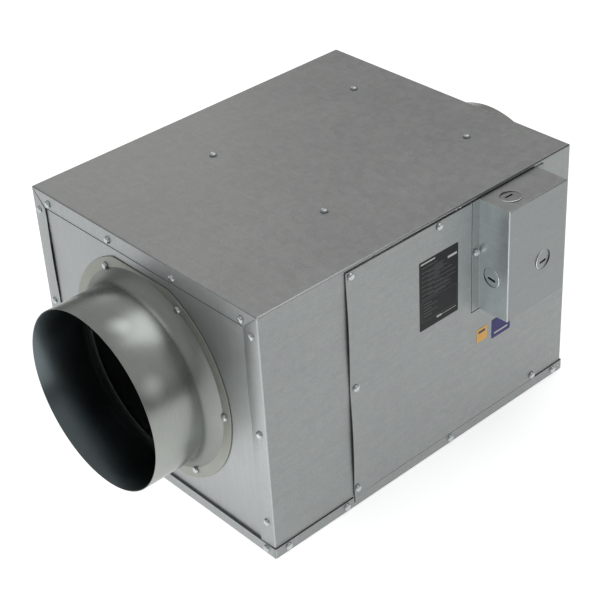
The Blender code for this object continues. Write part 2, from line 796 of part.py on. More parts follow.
def make_shaft(finish, rotor_axis):
    start, end = BELL_X[0] - 0.003, BELL_X[1] + 0.004
    chamfer = 0.0008
    profile = (
        (start, 0),
        (start, SHAFT_RADIUS - chamfer),
        (start + chamfer, SHAFT_RADIUS),
        (end - chamfer, SHAFT_RADIUS),
        (end, SHAFT_RADIUS - chamfer),
        (end, 0),
    )
    mesh = bmesh.new()
    add_turned(mesh, profile, "X", (0, 0, AXIS_Z), MOTOR_SIDES)
    hang(piece("motor_shaft", mesh, finish, smooth=True), rotor_axis)


def motor_flange_x():
    return BRACKET_X - GAP - MOTOR_FLANGE


def motor_screw_places(x):
    places = []
    for i in range(4):
        angle = math.radians(45 + 90 * i)
        y = MOTOR_SCREW_RADIUS * math.cos(angle)
        z = AXIS_Z + MOTOR_SCREW_RADIUS * math.sin(angle)
        places.append((x, y, z))
    return places


def make_motor_flange(finish):
    """The motor's fixed part: a mounting flange with the bearing tube that carries the stator."""
    start, end = motor_flange_x(), BRACKET_X - GAP
    tube_start = BEARING_X[0] - 0.001
    bore = BEARING_RADIUS + GAP
    profile = (
        (tube_start, bore),
        (end, bore),
        (end, MOTOR_FLANGE_RADIUS),
        (start, MOTOR_FLANGE_RADIUS),
        (start, HUB_RADIUS),
        (tube_start, HUB_RADIUS),
    )
    mesh = bmesh.new()
    add_turned(mesh, profile, "X", (0, 0, AXIS_Z), MOTOR_SIDES)
    flange = piece("motor_flange", mesh, finish, smooth=True)
    cut(flange, "screw_holes", add_holes, "X", motor_screw_places(end), SCREW_HOLE_RADIUS, SHEET * 20)
    lead_exit = (end, LEAD_EXIT_Y, AXIS_Z)
    cut(flange, "lead_hole", add_hole, "X", lead_exit, LEAD_RADIUS + LEAD_CLEARANCE, SHEET * 20)


def make_stator(finish):
    start, end = STATOR_X
    inner, outer = HUB_RADIUS + GAP, BELL_RADIUS - BELL_WALL - 0.0006
    profile = (
        (start + WINDING_ROUND, inner),
        (start, inner + WINDING_ROUND),
        (start, outer - WINDING_ROUND),
        (start + WINDING_ROUND, outer),
        (end - WINDING_ROUND, outer),
        (end, outer - WINDING_ROUND),
        (end, inner + WINDING_ROUND),
        (end - WINDING_ROUND, inner),
    )
    mesh = bmesh.new()
    add_turned(mesh, profile, "X", (0, 0, AXIS_Z), MOTOR_SIDES)
    piece("stator_windings", mesh, finish, smooth=True)


def make_bearing(name, start, finish):
    bore = SHAFT_RADIUS + 0.0001
    profile = (
        (start, bore),
        (start + BEARING_WIDTH, bore),
        (start + BEARING_WIDTH, BEARING_RADIUS),
        (start, BEARING_RADIUS),
    )
    mesh = bmesh.new()
    add_turned(mesh, profile, "X", (0, 0, AXIS_Z), MOTOR_SIDES)
    piece(name, mesh, finish, smooth=True)


def bracket_windows(mesh):
    """The air openings above and below the motor, in the bracket's plate."""
    upper = HEIGHT - BRACKET_WINDOW_MARGIN - BRACKET_WINDOW_HEIGHT
    for low in (BRACKET_WINDOW_MARGIN, upper):
        for side in (-1, 1):
            near, far = sorted(side * y for y in BRACKET_WINDOW_Y)
            start, end = BRACKET_X - 4 * BRACKET_SHEET, BRACKET_X + 4 * BRACKET_SHEET
            add_block(mesh, (start, near, low), (end, far, low + BRACKET_WINDOW_HEIGHT))


def make_motor_bracket(finish):
    """A folded strap from the cabinet's top to its base, which carries the motor from behind."""
    front, rear = BRACKET_X, BRACKET_X + BRACKET_SHEET
    outline = (
        (LINING_BASE, front),
        (LINING_BASE, front + BRACKET_BASE_FLANGE),
        (LINING_BASE + BRACKET_SHEET, front + BRACKET_BASE_FLANGE),
        (LINING_BASE + BRACKET_SHEET, rear),
        (LINING_TOP - BRACKET_SHEET, rear),
        (LINING_TOP - BRACKET_SHEET, front + BRACKET_TOP_FLANGE),
        (LINING_TOP, front + BRACKET_TOP_FLANGE),
        (LINING_TOP, front),
    )
    mesh = bmesh.new()
    add_prism(mesh, outline, "Y", -BRACKET_HALF_WIDTH, BRACKET_HALF_WIDTH)
    bracket = piece("motor_bracket", mesh, finish)
    cut(bracket, "windows", bracket_windows)
    rear_hangers = [place for place in hanger_places() if place[0] > 0]
    cut(bracket, "hanger_holes", add_holes, "Z", rear_hangers, SCREW_HOLE_RADIUS, SHEET * 10)
    cut(bracket, "motor_holes", add_holes, "X", motor_screw_places(rear), SCREW_HOLE_RADIUS, SHEET * 10)
    lead_exit = (front, LEAD_EXIT_Y, AXIS_Z)
    cut(bracket, "lead_hole", add_hole, "X", lead_exit, LEAD_RADIUS + LEAD_CLEARANCE, SHEET * 10)


# ---------------------------------------------------------------- backdraught damper


def make_damper_seal(finish):
    """A foam ring inside the outlet collar that the flaps close against."""
    end = DAMPER_X - FLAP_SHEET / 2 - GAP
    outer = COLLAR_RADIUS - SHEET - GAP
    start, inner = end - SEAL_DEPTH, outer - SEAL_WIDTH
    profile = ((start, inner), (end, inner), (end, outer), (start, outer))
    mesh = bmesh.new()
    add_turned(mesh, profile, "X", (0, 0, AXIS_Z), DUCT_SIDES)
    seal = piece("damper_seal", mesh, finish, smooth=True)
    pin_middle = (DAMPER_X, 0, AXIS_Z)
    cut(seal, "pin_notches", add_hole, "Z", pin_middle, PIN_RADIUS + GAP, 2.2 * COLLAR_RADIUS)


def make_damper_pin(finish):
    half = COLLAR_RADIUS - SHEET - 2 * GAP
    mesh = bmesh.new()
    add_hole(mesh, "Z", (DAMPER_X, 0, AXIS_Z), PIN_RADIUS, 2 * half, 16)
    piece("damper_pin", mesh, finish, smooth=True)


def make_damper_spring(finish):
    """The torsion spring's coil round the middle of the pin."""
    steps_per_turn = 11
    count = SPRING_TURNS * steps_per_turn
    data = bpy.data.curves.new("damper_spring", "CURVE")
    data.dimensions = "3D"
    data.bevel_depth = SPRING_WIRE
    data.bevel_resolution = 1
    data.use_fill_caps = True
    spline = data.splines.new("POLY")
    spline.points.add(count)
    for i, point in enumerate(spline.points):
        angle = 2 * math.pi * i / steps_per_turn
        x = DAMPER_X + SPRING_RADIUS * math.cos(angle)
        z = AXIS_Z + SPRING_LENGTH * (i / count - 0.5)
        point.co = (x, SPRING_RADIUS * math.sin(angle), z, 1)
    data.materials.append(finish)
    bpy.context.scene.collection.objects.link(bpy.data.objects.new("damper_spring", data))


def pin_relief(mesh):
    """The space along the flap's straight edge for the pin, the other flap's knuckles and the spring."""
    reach = FLAP_RADIUS + 0.005
    wide = SPRING_RADIUS + SPRING_WIRE + 0.0013
    narrow = KNUCKLE_RADIUS + 0.0006
    half = SPRING_LENGTH / 2 + 0.0025
    profile = ((-reach, 0), (-reach, narrow), (-half, narrow), (-half, wide),
               (half, wide), (half, narrow), (reach, narrow), (reach, 0))
    add_turned(mesh, profile, "Z", (DAMPER_X, 0, AXIS_Z), 20)


def add_knuckles(mesh, direction, places):
    """Solid knuckles with a tail that reaches into the flap's plate."""
    tail = FLAP_SHEET / 2
    clear = math.degrees(math.asin(tail / KNUCKLE_RADIUS))
    for place in places:
        round_part = arc((0, 0), KNUCKLE_RADIUS, clear, 360 - clear, 15)
        keyhole = [(0.006, -tail)] + [(0.006, tail)] + round_part
        outline = [(DAMPER_X - b * direction, a * direction) for a, b in keyhole]
        low = AXIS_Z + place - KNUCKLE_LENGTH / 2
        add_prism(mesh, outline, "Z", low, low + KNUCKLE_LENGTH)


def make_damper_flap(name, direction, places, finish, hinge):
    """A half disc of thin aluminium with two knuckles on the pin."""
    mesh = bmesh.new()
    half_disc = arc((0, AXIS_Z), FLAP_RADIUS, -88, 88, 22)
    outline = [(direction * y, z) for y, z in half_disc]
    add_prism(mesh, outline, "X", DAMPER_X - FLAP_SHEET / 2, DAMPER_X + FLAP_SHEET / 2)
    flap = piece(name, mesh, finish)
    hang(flap, hinge)
    cut(flap, "relief", pin_relief)
    join(flap, "knuckles", add_knuckles, direction, places)
    bore = PIN_RADIUS + GAP
    cut(flap, "bore", add_hole, "Z", (DAMPER_X, 0, AXIS_Z), bore, 2.2 * FLAP_RADIUS, 16)


# ---------------------------------------------------------------- the whole fan


def make_screws(finish):
    for i, place in enumerate(hanger_places(), 1):
        screw(f"hanger_screw_{i}", "Z", 1, place, finish)
    for i, place in enumerate(cover_screw_places(), 1):
        screw(f"cover_screw_{i}", "Y", -1, place, finish)
    for i, place in enumerate(box_screw_places(), 1):
        screw(f"junction_box_screw_{i}", "Y", -1, place, finish)
    for i, place in enumerate(motor_screw_places(BRACKET_X + BRACKET_SHEET), 1):
        screw(f"motor_screw_{i}", "X", 1, place, finish)
    for end, side in (("inlet", -1), ("outlet", 1)):
        for i, place in enumerate(collar_screw_places(side), 1):
            screw(f"{end}_collar_screw_{i}", "X", side, place, finish)


def main():
    clear_scene()
    casing = material("galvanised_casing", (0.36, 0.37, 0.36), 0.45, 1)
    panel = material("galvanised_panel", (0.45, 0.47, 0.49), 0.40, 1)
    collar = material("spun_collar", (0.42, 0.43, 0.41), 0.33, 1)
    zinc = material("zinc_screw", (0.62, 0.64, 0.65), 0.28, 1)
    foam = material("black_foam", (0.012, 0.012, 0.013), 0.95, 0)
    black_paper = material("label", (0.025, 0.026, 0.030), 0.45, 0)
    plastic = material("impeller_plastic", (0.02, 0.02, 0.022), 0.45, 0)
    motor_paint = material("motor_paint", (0.05, 0.05, 0.055), 0.50, 0)
    copper = material("winding", (0.35, 0.14, 0.06), 0.40, 1)
    steel = material("bright_steel", (0.55, 0.56, 0.57), 0.25, 1)
    aluminium = material("flap_aluminium", (0.70, 0.71, 0.72), 0.35, 1)
    cream = material("terminal_plastic", (0.72, 0.70, 0.62), 0.45, 0)
    rubber = material("grommet_rubber", (0.02, 0.02, 0.02), 0.80, 0)
    lead = material("lead_sheath", (0.03, 0.03, 0.03), 0.55, 0)

    make_base_tray(casing)
    make_wrapper(casing)
    for end, side in (("inlet", -1), ("outlet", 1)):
        make_end_panel(f"{end}_end_panel", side, panel)
        make_collar(f"{end}_collar", side, collar)
        make_end_liner(f"{end}_liner", side, foam)
    make_back_liner(foam)
    make_access_cover(casing)
    make_rating_label(black_paper)

    make_junction_box(panel)
    make_terminal_block(cream)
    make_capacitor(aluminium)
    make_capacitor_clip(steel)
    make_grommet(rubber)
    make_motor_lead(lead)

    rotor_axis = joint_axis("rotor_axis", Vector((BACK_PLATE_X, 0, AXIS_Z)))
    make_bulkhead(panel)
    make_inlet_ring(panel)
    make_impeller(plastic, rotor_axis)
    make_rotor_bell(motor_paint, rotor_axis)
    make_shaft(steel, rotor_axis)
    make_motor_flange(aluminium)
    make_stator(copper)
    make_bearing("front_bearing", BEARING_X[0], steel)
    make_bearing("rear_bearing", BEARING_X[1], steel)
    make_motor_bracket(panel)

    hinge = joint_axis("damper_hinge", Vector((DAMPER_X, 0, AXIS_Z)))
    make_damper_seal(foam)
    make_damper_pin(steel)
    make_damper_spring(steel)
    make_damper_flap("damper_flap_left", -1, KNUCKLE_PLACES["left"], aluminium, hinge)
    make_damper_flap("damper_flap_right", 1, KNUCKLE_PLACES["right"], aluminium, hinge)

    make_screws(zinc)


main()
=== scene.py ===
"""Inline duct fan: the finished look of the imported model.

Metres, in the part's own frame: the origin is the middle of the cabinet's underside, +X is the air
direction, -Y the service side with the access cover and the junction box, and +Z up.
"""

import math

import bmesh
import bpy
from mathutils import Matrix, Vector


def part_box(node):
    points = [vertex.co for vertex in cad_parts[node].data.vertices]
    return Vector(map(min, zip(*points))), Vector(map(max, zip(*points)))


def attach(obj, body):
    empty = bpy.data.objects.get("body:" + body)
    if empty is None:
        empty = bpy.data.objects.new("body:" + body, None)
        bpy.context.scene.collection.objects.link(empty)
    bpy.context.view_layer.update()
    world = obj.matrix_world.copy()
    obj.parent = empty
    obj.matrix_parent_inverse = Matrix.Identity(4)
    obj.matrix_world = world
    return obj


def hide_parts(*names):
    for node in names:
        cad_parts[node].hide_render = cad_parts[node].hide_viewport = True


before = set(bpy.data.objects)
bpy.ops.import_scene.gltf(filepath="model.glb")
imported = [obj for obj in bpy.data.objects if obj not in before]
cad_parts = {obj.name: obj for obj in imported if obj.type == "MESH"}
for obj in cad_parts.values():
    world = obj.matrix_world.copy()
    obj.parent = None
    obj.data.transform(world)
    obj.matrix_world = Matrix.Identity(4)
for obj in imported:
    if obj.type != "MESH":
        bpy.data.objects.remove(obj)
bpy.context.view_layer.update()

SHEET = 0.001
GAP = 0.0003

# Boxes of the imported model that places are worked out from
TRAY_LOW, TRAY_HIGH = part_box("base_tray")
WRAP_LOW, WRAP_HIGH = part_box("casing_wrapper")
COVER_LOW, COVER_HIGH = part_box("access_cover")
STRIP_LOW, STRIP_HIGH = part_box("junction_box")
COLLAR_LOW, COLLAR_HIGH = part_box("inlet_collar")
BELL_LOW, BELL_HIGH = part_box("rotor_bell")
WHEEL_LOW, WHEEL_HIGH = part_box("impeller")
AXIS_Z = (WHEEL_LOW.z + WHEEL_HIGH.z) / 2
TOP = WRAP_HIGH.z
SIDE_Y = WRAP_HIGH.y
END_X = WRAP_HIGH.x
UPSTAND = TRAY_HIGH.z

# Cabinet
BEND = 0.0016
CORNER_SEAM = 0.0004
HEM = 0.0014
HEM_DEPTH = 0.006
RELIEF_WIDTH = 0.0016
RELIEF_BASE = 0.0062
FLANGE_SIDE = 0.020
FLANGE_TOP = 0.018
FLANGE_BOW = 0.0011
EDGE_ROUND = 0.00016
PANEL_HOLE_RADIUS = 0.103
LINER_HOLE_RADIUS = 0.117
LINER_ROUND = 0.0012
END_SCREW_Z = (0.042, 0.150, 0.262)
END_SCREW_Y = 0.164
TOP_FLANGE_SCREWS_Y = (-0.151, -0.053, 0.047, 0.147)
TOP_FLANGE_SCREW_Z = 0.2745
TRAY_END_SCREW = (0.162, 0.0075)
TRAY_SIDE_SCREWS_X = (-0.1985, -0.119, 0.033, 0.200)
TRAY_SIDE_SCREW_Z = 0.0072

# Opening behind the access cover, its slit above, and the cover's notch for the junction box
OPENING_LEFT = -0.092
OPENING_RIGHT = 0.152
OPENING_BASE = 0.028
OPENING_TOP = 0.264
OPENING_STEP_X = 0.056
OPENING_STEP_Z = 0.136
SLIT_RIGHT = 0.158
SLIT_BASE = 0.2822
SLIT_TOP = 0.2834
NOTCH_LEFT = 0.064
NOTCH_BASE = 0.1515
COVER_BOW = 0.0017
COVER_BOW_REACH = 0.050
COVER_LIP = 0.008
COVER_CORNER = 0.0012
OPENING_CORNER = 0.003
SLICE = 0.010
FLANGE_SLICE = 0.012

# Duct collars
COLLAR_RADIUS = 0.099
COLLAR_FLARE = 0.0115
COLLAR_FLARE_LENGTH = 0.0163
COLLAR_FLARE_STEPS = 14
COLLAR_FLANGE_RADIUS = (COLLAR_HIGH.y - COLLAR_LOW.y) / 2
COLLAR_FLAT = (COLLAR_HIGH.z - COLLAR_LOW.z) / 2

# Junction box
BOX_STRIP = 0.0105
BOX_BEND = 0.0011
BOX_LEFT = STRIP_LOW.x + BOX_STRIP
BOX_RIGHT = STRIP_HIGH.x - BOX_STRIP
KNOCKOUT_RADIUS = 0.011
KNOCKOUT_CLEARANCE = 0.0001
KNOCKOUT_SLOT = Vector((0.0105, 0.0027))
KNOCKOUT_SLOT_DROP = 0.0025
KNOCKOUT_EDGE = 0.0004
KNOCKOUT_TILT = 6.5
KNOCKOUT_SINK = 0.00005
KNOCKOUT_SIDES = 64

# Fan unit
SHROUD_DEPTH = 0.024
SHROUD_SHEET = 0.002
WHEEL_RADIUS = (WHEEL_HIGH.y - WHEEL_LOW.y) / 2
WHEEL_EYE_RADIUS = 0.0755
BACK_PLATE = 0.002
BLADE_COUNT = 7
BLADE_SHEET = 0.0025
BLADE_ROOT_RADIUS = 0.060
BLADE_SWEEP = 52
BLADE_STEPS = 14
BLADE_ROOT_WIDTH = 0.030
BLADE_OVERRUN = 0.005
BELL_RADIUS = 0.046
BELL_WALL = 0.003
SHAFT_RADIUS = 0.004
RING_CURVE = 0.025
RING_RADIUS = 0.072
RING_CHAMFER = 0.0004
BEARING_CLEARANCE = 0.0001
SEAL_RADIUS = 0.0917

# Terminal block, run capacitor and damper flaps
TERMINAL_WAYS = 4
WELL_RADIUS = 0.0019
WELL_DEPTH = 0.012
WELL_DROP = 0.010
GROOVE_WIDTH = 0.0006
GROOVE_DEPTH = 0.0015
GROOVE_BASE = 0.004
CAN_ROUND = 0.002
CAN_STUD_RADIUS = 0.004
CAN_STUD_HEIGHT = 0.006
CAN_ROLL = 0.0008
CAN_SIDES = 64
FLAP_SKIN = 0.0012
FLAP_MARGIN = 0.0046
FLAP_CENTRE = 0.0042
FLAP_SHIFT = 0.0005
FLAP_REACH = 86
FLAP_ROUND = 0.0002

# Films on the cover
FILM_DEPTH = 0.0002
FILM_SINK = 0.0001

# Screws
HEAD_RADIUS = 0.0043
HEAD_HEIGHT = 0.0026
SHANK_RADIUS = 0.0019
SHANK_LENGTH = 0.008
SHANK_TAPER = 0.78
SCREW_HOLE_RADIUS = 0.0022
WASHER_RIM = 0.0005
RECESS_RISE = 0.0006
RECESS_DEPTH = 0.0018
# Half the length and half the width of the recess's arms, at its top and at its floor
RECESS_TOP = (0.0030, 0.00075)
RECESS_FLOOR = (0.0014, 0.00045)
SCREW_GROUPS = {
    # packed screws: how many, the way they face, and their body
    "hanger_screw": (4, (0, 0, 1), "cabinet"),
    "cover_screw": (5, (0, -1, 0), "cover_unit"),
    "junction_box_screw": (2, (0, -1, 0), "junction_box_unit"),
    "motor_screw": (4, (1, 0, 0), "cabinet"),
    "inlet_collar_screw": (6, (-1, 0, 0), "cabinet"),
    "outlet_collar_screw": (6, (1, 0, 0), "cabinet"),
}

# Stage: the paper floor glows more in a soft round patch below the inlet end
FLOOR_REACH = 8
FLOOR_DROP = 0.0005
GLOW_CENTRE = (-0.42, -0.02, 0)
GLOW_REACH = 0.38
GLOW_NEAR = 1.15
GLOW_FAR = 0.52

# Painted highlights on the inlet collar: brighter spots that stand in for the reflections of two soft lights,
# and how far each reaches
HIGHLIGHT_SPOTS = (((-0.267, -0.032, 0.239), 0.016), ((-0.272, -0.085, 0.195), 0.018))

# Facets round the turned pieces
DUCT_SIDES = 160
WHEEL_SIDES = 112
SMALL_SIDES = 40

# An axis, then the two directions across it
FRAMES = {
    "X": (Vector((1, 0, 0)), Vector((0, 1, 0)), Vector((0, 0, 1))),
    "Y": (Vector((0, 1, 0)), Vector((0, 0, 1)), Vector((1, 0, 0))),
    "Z": (Vector((0, 0, 1)), Vector((1, 0, 0)), Vector((0, 1, 0))),
}


# ---- shapes


def add_block(mesh, low, high):
    """A closed cuboid between two corners."""
    corners = bmesh.ops.create_cube(mesh, size=1)["verts"]
    low, high = Vector(low), Vector(high)
    for corner in corners:
        corner.co = Vector((low[i] + (corner.co[i] + 0.5) * (high[i] - low[i]) for i in range(3)))
    return corners


def add_prism(mesh, outline, axis, start, end):
    """A flat outline, given in the two directions across the axis, extruded from start to end along it."""
    along, across, up = FRAMES[axis]
    rings = []
    for place in (start, end):
        rings.append([mesh.verts.new(along * place + across * a + up * b) for a, b in outline])
    mesh.faces.new(rings[0])
    mesh.faces.new(rings[1])
    count = len(outline)
    for i in range(count):
        j = (i + 1) % count
        mesh.faces.new((rings[0][i], rings[0][j], rings[1][j], rings[1][i]))


def add_turned(mesh, profile, axis, centre, segments):
    """A closed profile of (place along the axis, radius) turned about the axis through the centre."""
    along, across, up = FRAMES[axis]
    centre = Vector(centre)
    columns = []
    for place, radius in profile:
        middle = centre + along * place
        if radius == 0:
            columns.append([mesh.verts.new(middle)] * segments)
            continue
        ring = []
        for i in range(segments):
            angle = 2 * math.pi * i / segments
            ring.append(mesh.verts.new(middle + radius * (across * math.cos(angle) + up * math.sin(angle))))
        columns.append(ring)
    for first, second in zip(columns, columns[1:] + columns[:1]):
        for i in range(segments):
            j = (i + 1) % segments
            corners = (first[i], first[j], second[j], second[i])
            distinct = list(dict.fromkeys(corners))
            if len(distinct) > 2:
                mesh.faces.new(distinct)


def add_holes(mesh, axis, centres, radius, depth, segments=24):
    """Plain cylinders for cutting, each centred on a point."""
    profile = ((-depth / 2, 0), (-depth / 2, radius), (depth / 2, radius), (depth / 2, 0))
    for centre in centres:
        add_turned(mesh, profile, axis, centre, segments)


def arc(centre, radius, start, end, steps):
    """Points on an arc, with angles in degrees."""
    points = []
    for i in range(steps + 1):
        angle = math.radians(start + (end - start) * i / steps)
        points.append((centre[0] + radius * math.cos(angle), centre[1] + radius * math.sin(angle)))
    return points


def rounded(corners, radius, steps=4):
    """An outline with each of its corners rounded, whichever way the corner turns."""
    points = []
    count = len(corners)
    for i in range(count):
        before, corner, after = (Vector(corners[j % count]) for j in (i - 1, i, i + 1))
        start = corner + (before - corner).normalized() * radius
        end = corner + (after - corner).normalized() * radius
        for step in range(steps + 1):
            t = step / steps
            points.append(tuple((1 - t) ** 2 * start + 2 * t * (1 - t) * corner + t**2 * end))
    return points


def add_folded_block(mesh, low, high, is_bend, radius=BEND):
    """A cuboid whose edges are rounded like bends where is_bend(edge) holds."""
    add_block(mesh, low, high)
    bends = [edge for edge in mesh.edges if is_bend(edge)]
    bmesh.ops.bevel(mesh, geom=bends, offset=radius, segments=4, profile=0.5, affect="EDGES")


def slice_mesh(mesh, axis, places):
    """Cuts every face along planes across an axis, so that the sheet can bend there."""
    direction = FRAMES[axis][0]
    for place in places:
        geometry = mesh.verts[:] + mesh.edges[:] + mesh.faces[:]
        bmesh.ops.bisect_plane(mesh, geom=geometry, dist=1e-7, plane_co=direction * place, plane_no=direction)


def span(side, near, far):
    """Two distances from the middle, on the side +1 or -1, with the lower place first."""
    return sorted((side * near, side * far))


def steps_between(low, high, step):
    count = max(1, round((high - low) / step))
    return [low + (high - low) * i / count for i in range(1, count)]


def link(name, mesh):
    bmesh.ops.recalc_face_normals(mesh, faces=mesh.faces)
    data = bpy.data.meshes.new(name)
    mesh.to_mesh(data)
    mesh.free()
    made = bpy.data.objects.new(name, data)
    bpy.context.scene.collection.objects.link(made)
    return made


def shape(name, build, *values):
    """An object from the shapes that build(mesh, *values) adds."""
    mesh = bmesh.new()
    build(mesh, *values)
    return link(name, mesh)


def settle(made):
    """Applies every modifier of an object and removes the shapes that they used."""
    tools = [step.object for step in made.modifiers if step.type == "BOOLEAN"]
    graph = bpy.context.evaluated_depsgraph_get()
    shaped = bpy.data.meshes.new_from_object(made.evaluated_get(graph))
    made.modifiers.clear()
    made.data = shaped
    for tool in tools:
        bpy.data.objects.remove(tool, do_unlink=True)


def boolean(target, operation, build, *values):
    """Joins, cuts or intersects an object with the shapes that build(mesh, *values) adds."""
    tool = shape(f"{target.name}_tool", build, *values)
    tool.hide_render = True
    step = target.modifiers.new("boolean", "BOOLEAN")
    step.operation = operation
    step.object = tool
    step.solver = "EXACT"


def bow_sheet(made, slices, bow):
    """Slices a settled sheet at places across some axes, then moves its vertices with bow(mesh)."""
    mesh = bmesh.new()
    mesh.from_mesh(made.data)
    for axis, places in slices:
        slice_mesh(mesh, axis, places)
    bow(mesh)
    mesh.to_mesh(made.data)
    mesh.free()


def cut(target, build, *values):
    boolean(target, "DIFFERENCE", build, *values)


def join(target, build, *values):
    boolean(target, "UNION", build, *values)


def axis_of(direction):
    """The letter of the axis that a direction lies along."""
    return "XYZ"[max(range(3), key=lambda i: abs(direction[i]))]


def round_edges(target, width=EDGE_ROUND, segments=2):
    """A small round on every edge sharper than 35 degrees."""
    step = target.modifiers.new("edges", "BEVEL")
    step.width = width
    step.segments = segments
    step.limit_method = "ANGLE"
    step.angle_limit = math.radians(35)
    step.use_clamp_overlap = False


def shade(data, sharp):
    """Smooth shading on round stretches; faces square to an axis stay flat, so that sheets look level."""
    data.shade_smooth()
    data.set_sharp_from_angle(angle=math.radians(sharp))
    for face in data.polygons:
        face.use_smooth = max(abs(part) for part in face.normal) < 0.99999


def finish_piece(made, finish, body, stands_for=(), sharp=35):
    """Shading, finish, and the body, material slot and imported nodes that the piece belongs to."""
    if not made.data.materials:
        made.data.materials.append(finish)
    shade(made.data, sharp)
    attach(made, body)
    if stands_for:
        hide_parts(*stands_for)
    return made


def paint_faces(made, finishes, choose):
    """Gives each face the finish whose number choose(face) returns."""
    made.data.materials.clear()
    for finish in finishes:
        made.data.materials.append(finish)
    for face in made.data.polygons:
        face.material_index = choose(face)


# ---- materials


class Finish:
    """A Principled material with short forms for the nodes that vary it."""

    def __init__(self, name, colour, roughness, metallic):
        self.material = bpy.data.materials.new(name)
        self.material.use_nodes = True
        self.tree = self.material.node_tree
        self.shader = self.tree.nodes["Principled BSDF"]
        self.colour = colour
        self.shader.inputs["Base Color"].default_value = (*colour, 1)
        self.shader.inputs["Roughness"].default_value = roughness
        self.shader.inputs["Metallic"].default_value = metallic
        self.place = self.node("ShaderNodeTexCoord").outputs["Object"]

    def node(self, kind, **inputs):
        made = self.tree.nodes.new(kind)
        for name, value in inputs.items():
            socket = made.inputs[name.replace("_", " ")]
            if isinstance(value, bpy.types.NodeSocket):
                self.tree.links.new(value, socket)
            else:
                socket.default_value = value
        return made

    def stretched(self, stretch):
        mapping = self.node("ShaderNodeMapping", Vector=self.place, Scale=stretch)
        return mapping.outputs["Vector"]

    def noise(self, scale, detail=2.0, stretch=(1, 1, 1)):
        place = self.stretched(stretch)
        return self.node("ShaderNodeTexNoise", Vector=place, Scale=scale, Detail=detail).outputs["Fac"]

    def cells(self, scale):
        """One random value for each cell."""
        voronoi = self.node("ShaderNodeTexVoronoi", Vector=self.place, Scale=scale)
        return self.node("ShaderNodeSeparateColor", Color=voronoi.outputs["Color"]).outputs["Red"]

    def between(self, value, low, high, start=0.0, end=1.0, interpolation="LINEAR"):
        """The value moved from the range start..end to the range low..high."""
        ends = {"From_Min": start, "From_Max": end, "To_Min": low, "To_Max": high}
        made = self.node("ShaderNodeMapRange", Value=value, **ends)
        made.interpolation_type = interpolation
        return made.outputs["Result"]

    def spot(self, centre, reach, near, far=1):
        """The level near at a point, changing softly to the level far at a distance from it."""
        distance = self.node("ShaderNodeVectorMath")
        distance.operation = "DISTANCE"
        distance.inputs[1].default_value = centre
        self.tree.links.new(self.place, distance.inputs[0])
        return self.between(distance.outputs["Value"], near, far, 0, reach, "SMOOTHSTEP")

    def times(self, *values):
        result = values[0]
        for value in values[1:]:
            made = self.tree.nodes.new("ShaderNodeMath")
            made.operation = "MULTIPLY"
            self.tree.links.new(result, made.inputs[0])
            self.tree.links.new(value, made.inputs[1])
            result = made.outputs[0]
        return result

    def shade(self, value):
        """Multiplies the colour by a varying value."""
        made = self.tree.nodes.new("ShaderNodeVectorMath")
        made.operation = "SCALE"
        made.inputs[0].default_value = self.colour
        self.tree.links.new(value, made.inputs["Scale"])
        self.tree.links.new(made.outputs["Vector"], self.shader.inputs["Base Color"])

    def dull(self, value):
        self.tree.links.new(value, self.shader.inputs["Roughness"])

    def bump(self, height, strength, distance):
        made = self.node("ShaderNodeBump", Height=height, Strength=strength, Distance=distance)
        self.tree.links.new(made.outputs["Normal"], self.shader.inputs["Normal"])


def galvanised(name, colour, roughness, spangle, rolling=(1, 1, 1)):
    """Zinc-coated sheet: faint spangle about 7 mm across, a fine grain, cloudy patches and rolling marks."""
    made = Finish(name, colour, roughness, 1)
    cells = made.cells(140)
    cloud = made.noise(11, 3)
    grain = made.noise(900, 3)
    rolled = made.noise(26, 3, rolling)
    made.shade(
        made.times(
            made.between(cells, 1 - spangle, 1 + spangle),
            made.between(cloud, 0.90, 1.10),
            made.between(grain, 0.80, 1.20),
            made.between(rolled, 0.94, 1.06),
        )
    )
    made.dull(
        made.times(
            made.between(cells, roughness * (1 - spangle), roughness * (1 + spangle)),
            made.between(cloud, 0.88, 1.12),
        )
    )
    made.bump(grain, 0.10, 0.0002)
    return made.material


def bend_highlight(name, colour, roughness, highlight_share):
    """A bend with a painted highlight over the sheet's grain, bright near the inlet end and fading to a share
    of that towards the outlet end.
    """
    made = Finish(name, colour, roughness, 1)
    along = made.node("ShaderNodeSeparateXYZ", Vector=made.place).outputs["X"]
    grain = made.between(made.noise(500, 3), 0.8, 1.2)
    made.shade(made.times(grain, made.between(along, 1, highlight_share, -0.12, 0.06)))
    return made.material


def spun(name, colour, roughness, highlight_spots=()):
    """Zinc-coated sheet rolled into a round: fine lines round the duct, cloudy patches and spots of painted
    highlight.
    """
    made = Finish(name, colour, roughness, 1)
    lines = made.noise(60, 3, (14, 1, 1))
    cloud = made.noise(17, 2)
    grain = made.noise(1100, 2)
    made.shade(
        made.times(
            made.between(lines, 0.90, 1.10),
            made.between(cloud, 0.84, 1.16),
            made.between(grain, 0.92, 1.08),
            *(made.spot(centre, reach, 1.8) for centre, reach in highlight_spots),
        )
    )
    clouded = made.between(cloud, roughness * 0.72, roughness * 1.28)
    made.dull(made.times(clouded, made.between(lines, 0.9, 1.1)))
    made.bump(lines, 0.02, 0.0003)
    return made.material


def plated(name, colour, roughness):
    """Bright zinc plate or ground steel with small stains."""
    made = Finish(name, colour, roughness, 1)
    stains = made.noise(420, 3)
    made.shade(made.between(stains, 0.78, 1.16))
    made.dull(made.between(stains, roughness * 0.7, roughness * 1.4))
    return made.material


def foam(name, colour):
    """Open-cell acoustic foam."""
    made = Finish(name, colour, 0.95, 0)
    pores = made.noise(700, 4)
    made.shade(made.between(pores, 0.3, 1.9))
    made.bump(pores, 0.9, 0.0012)
    return made.material


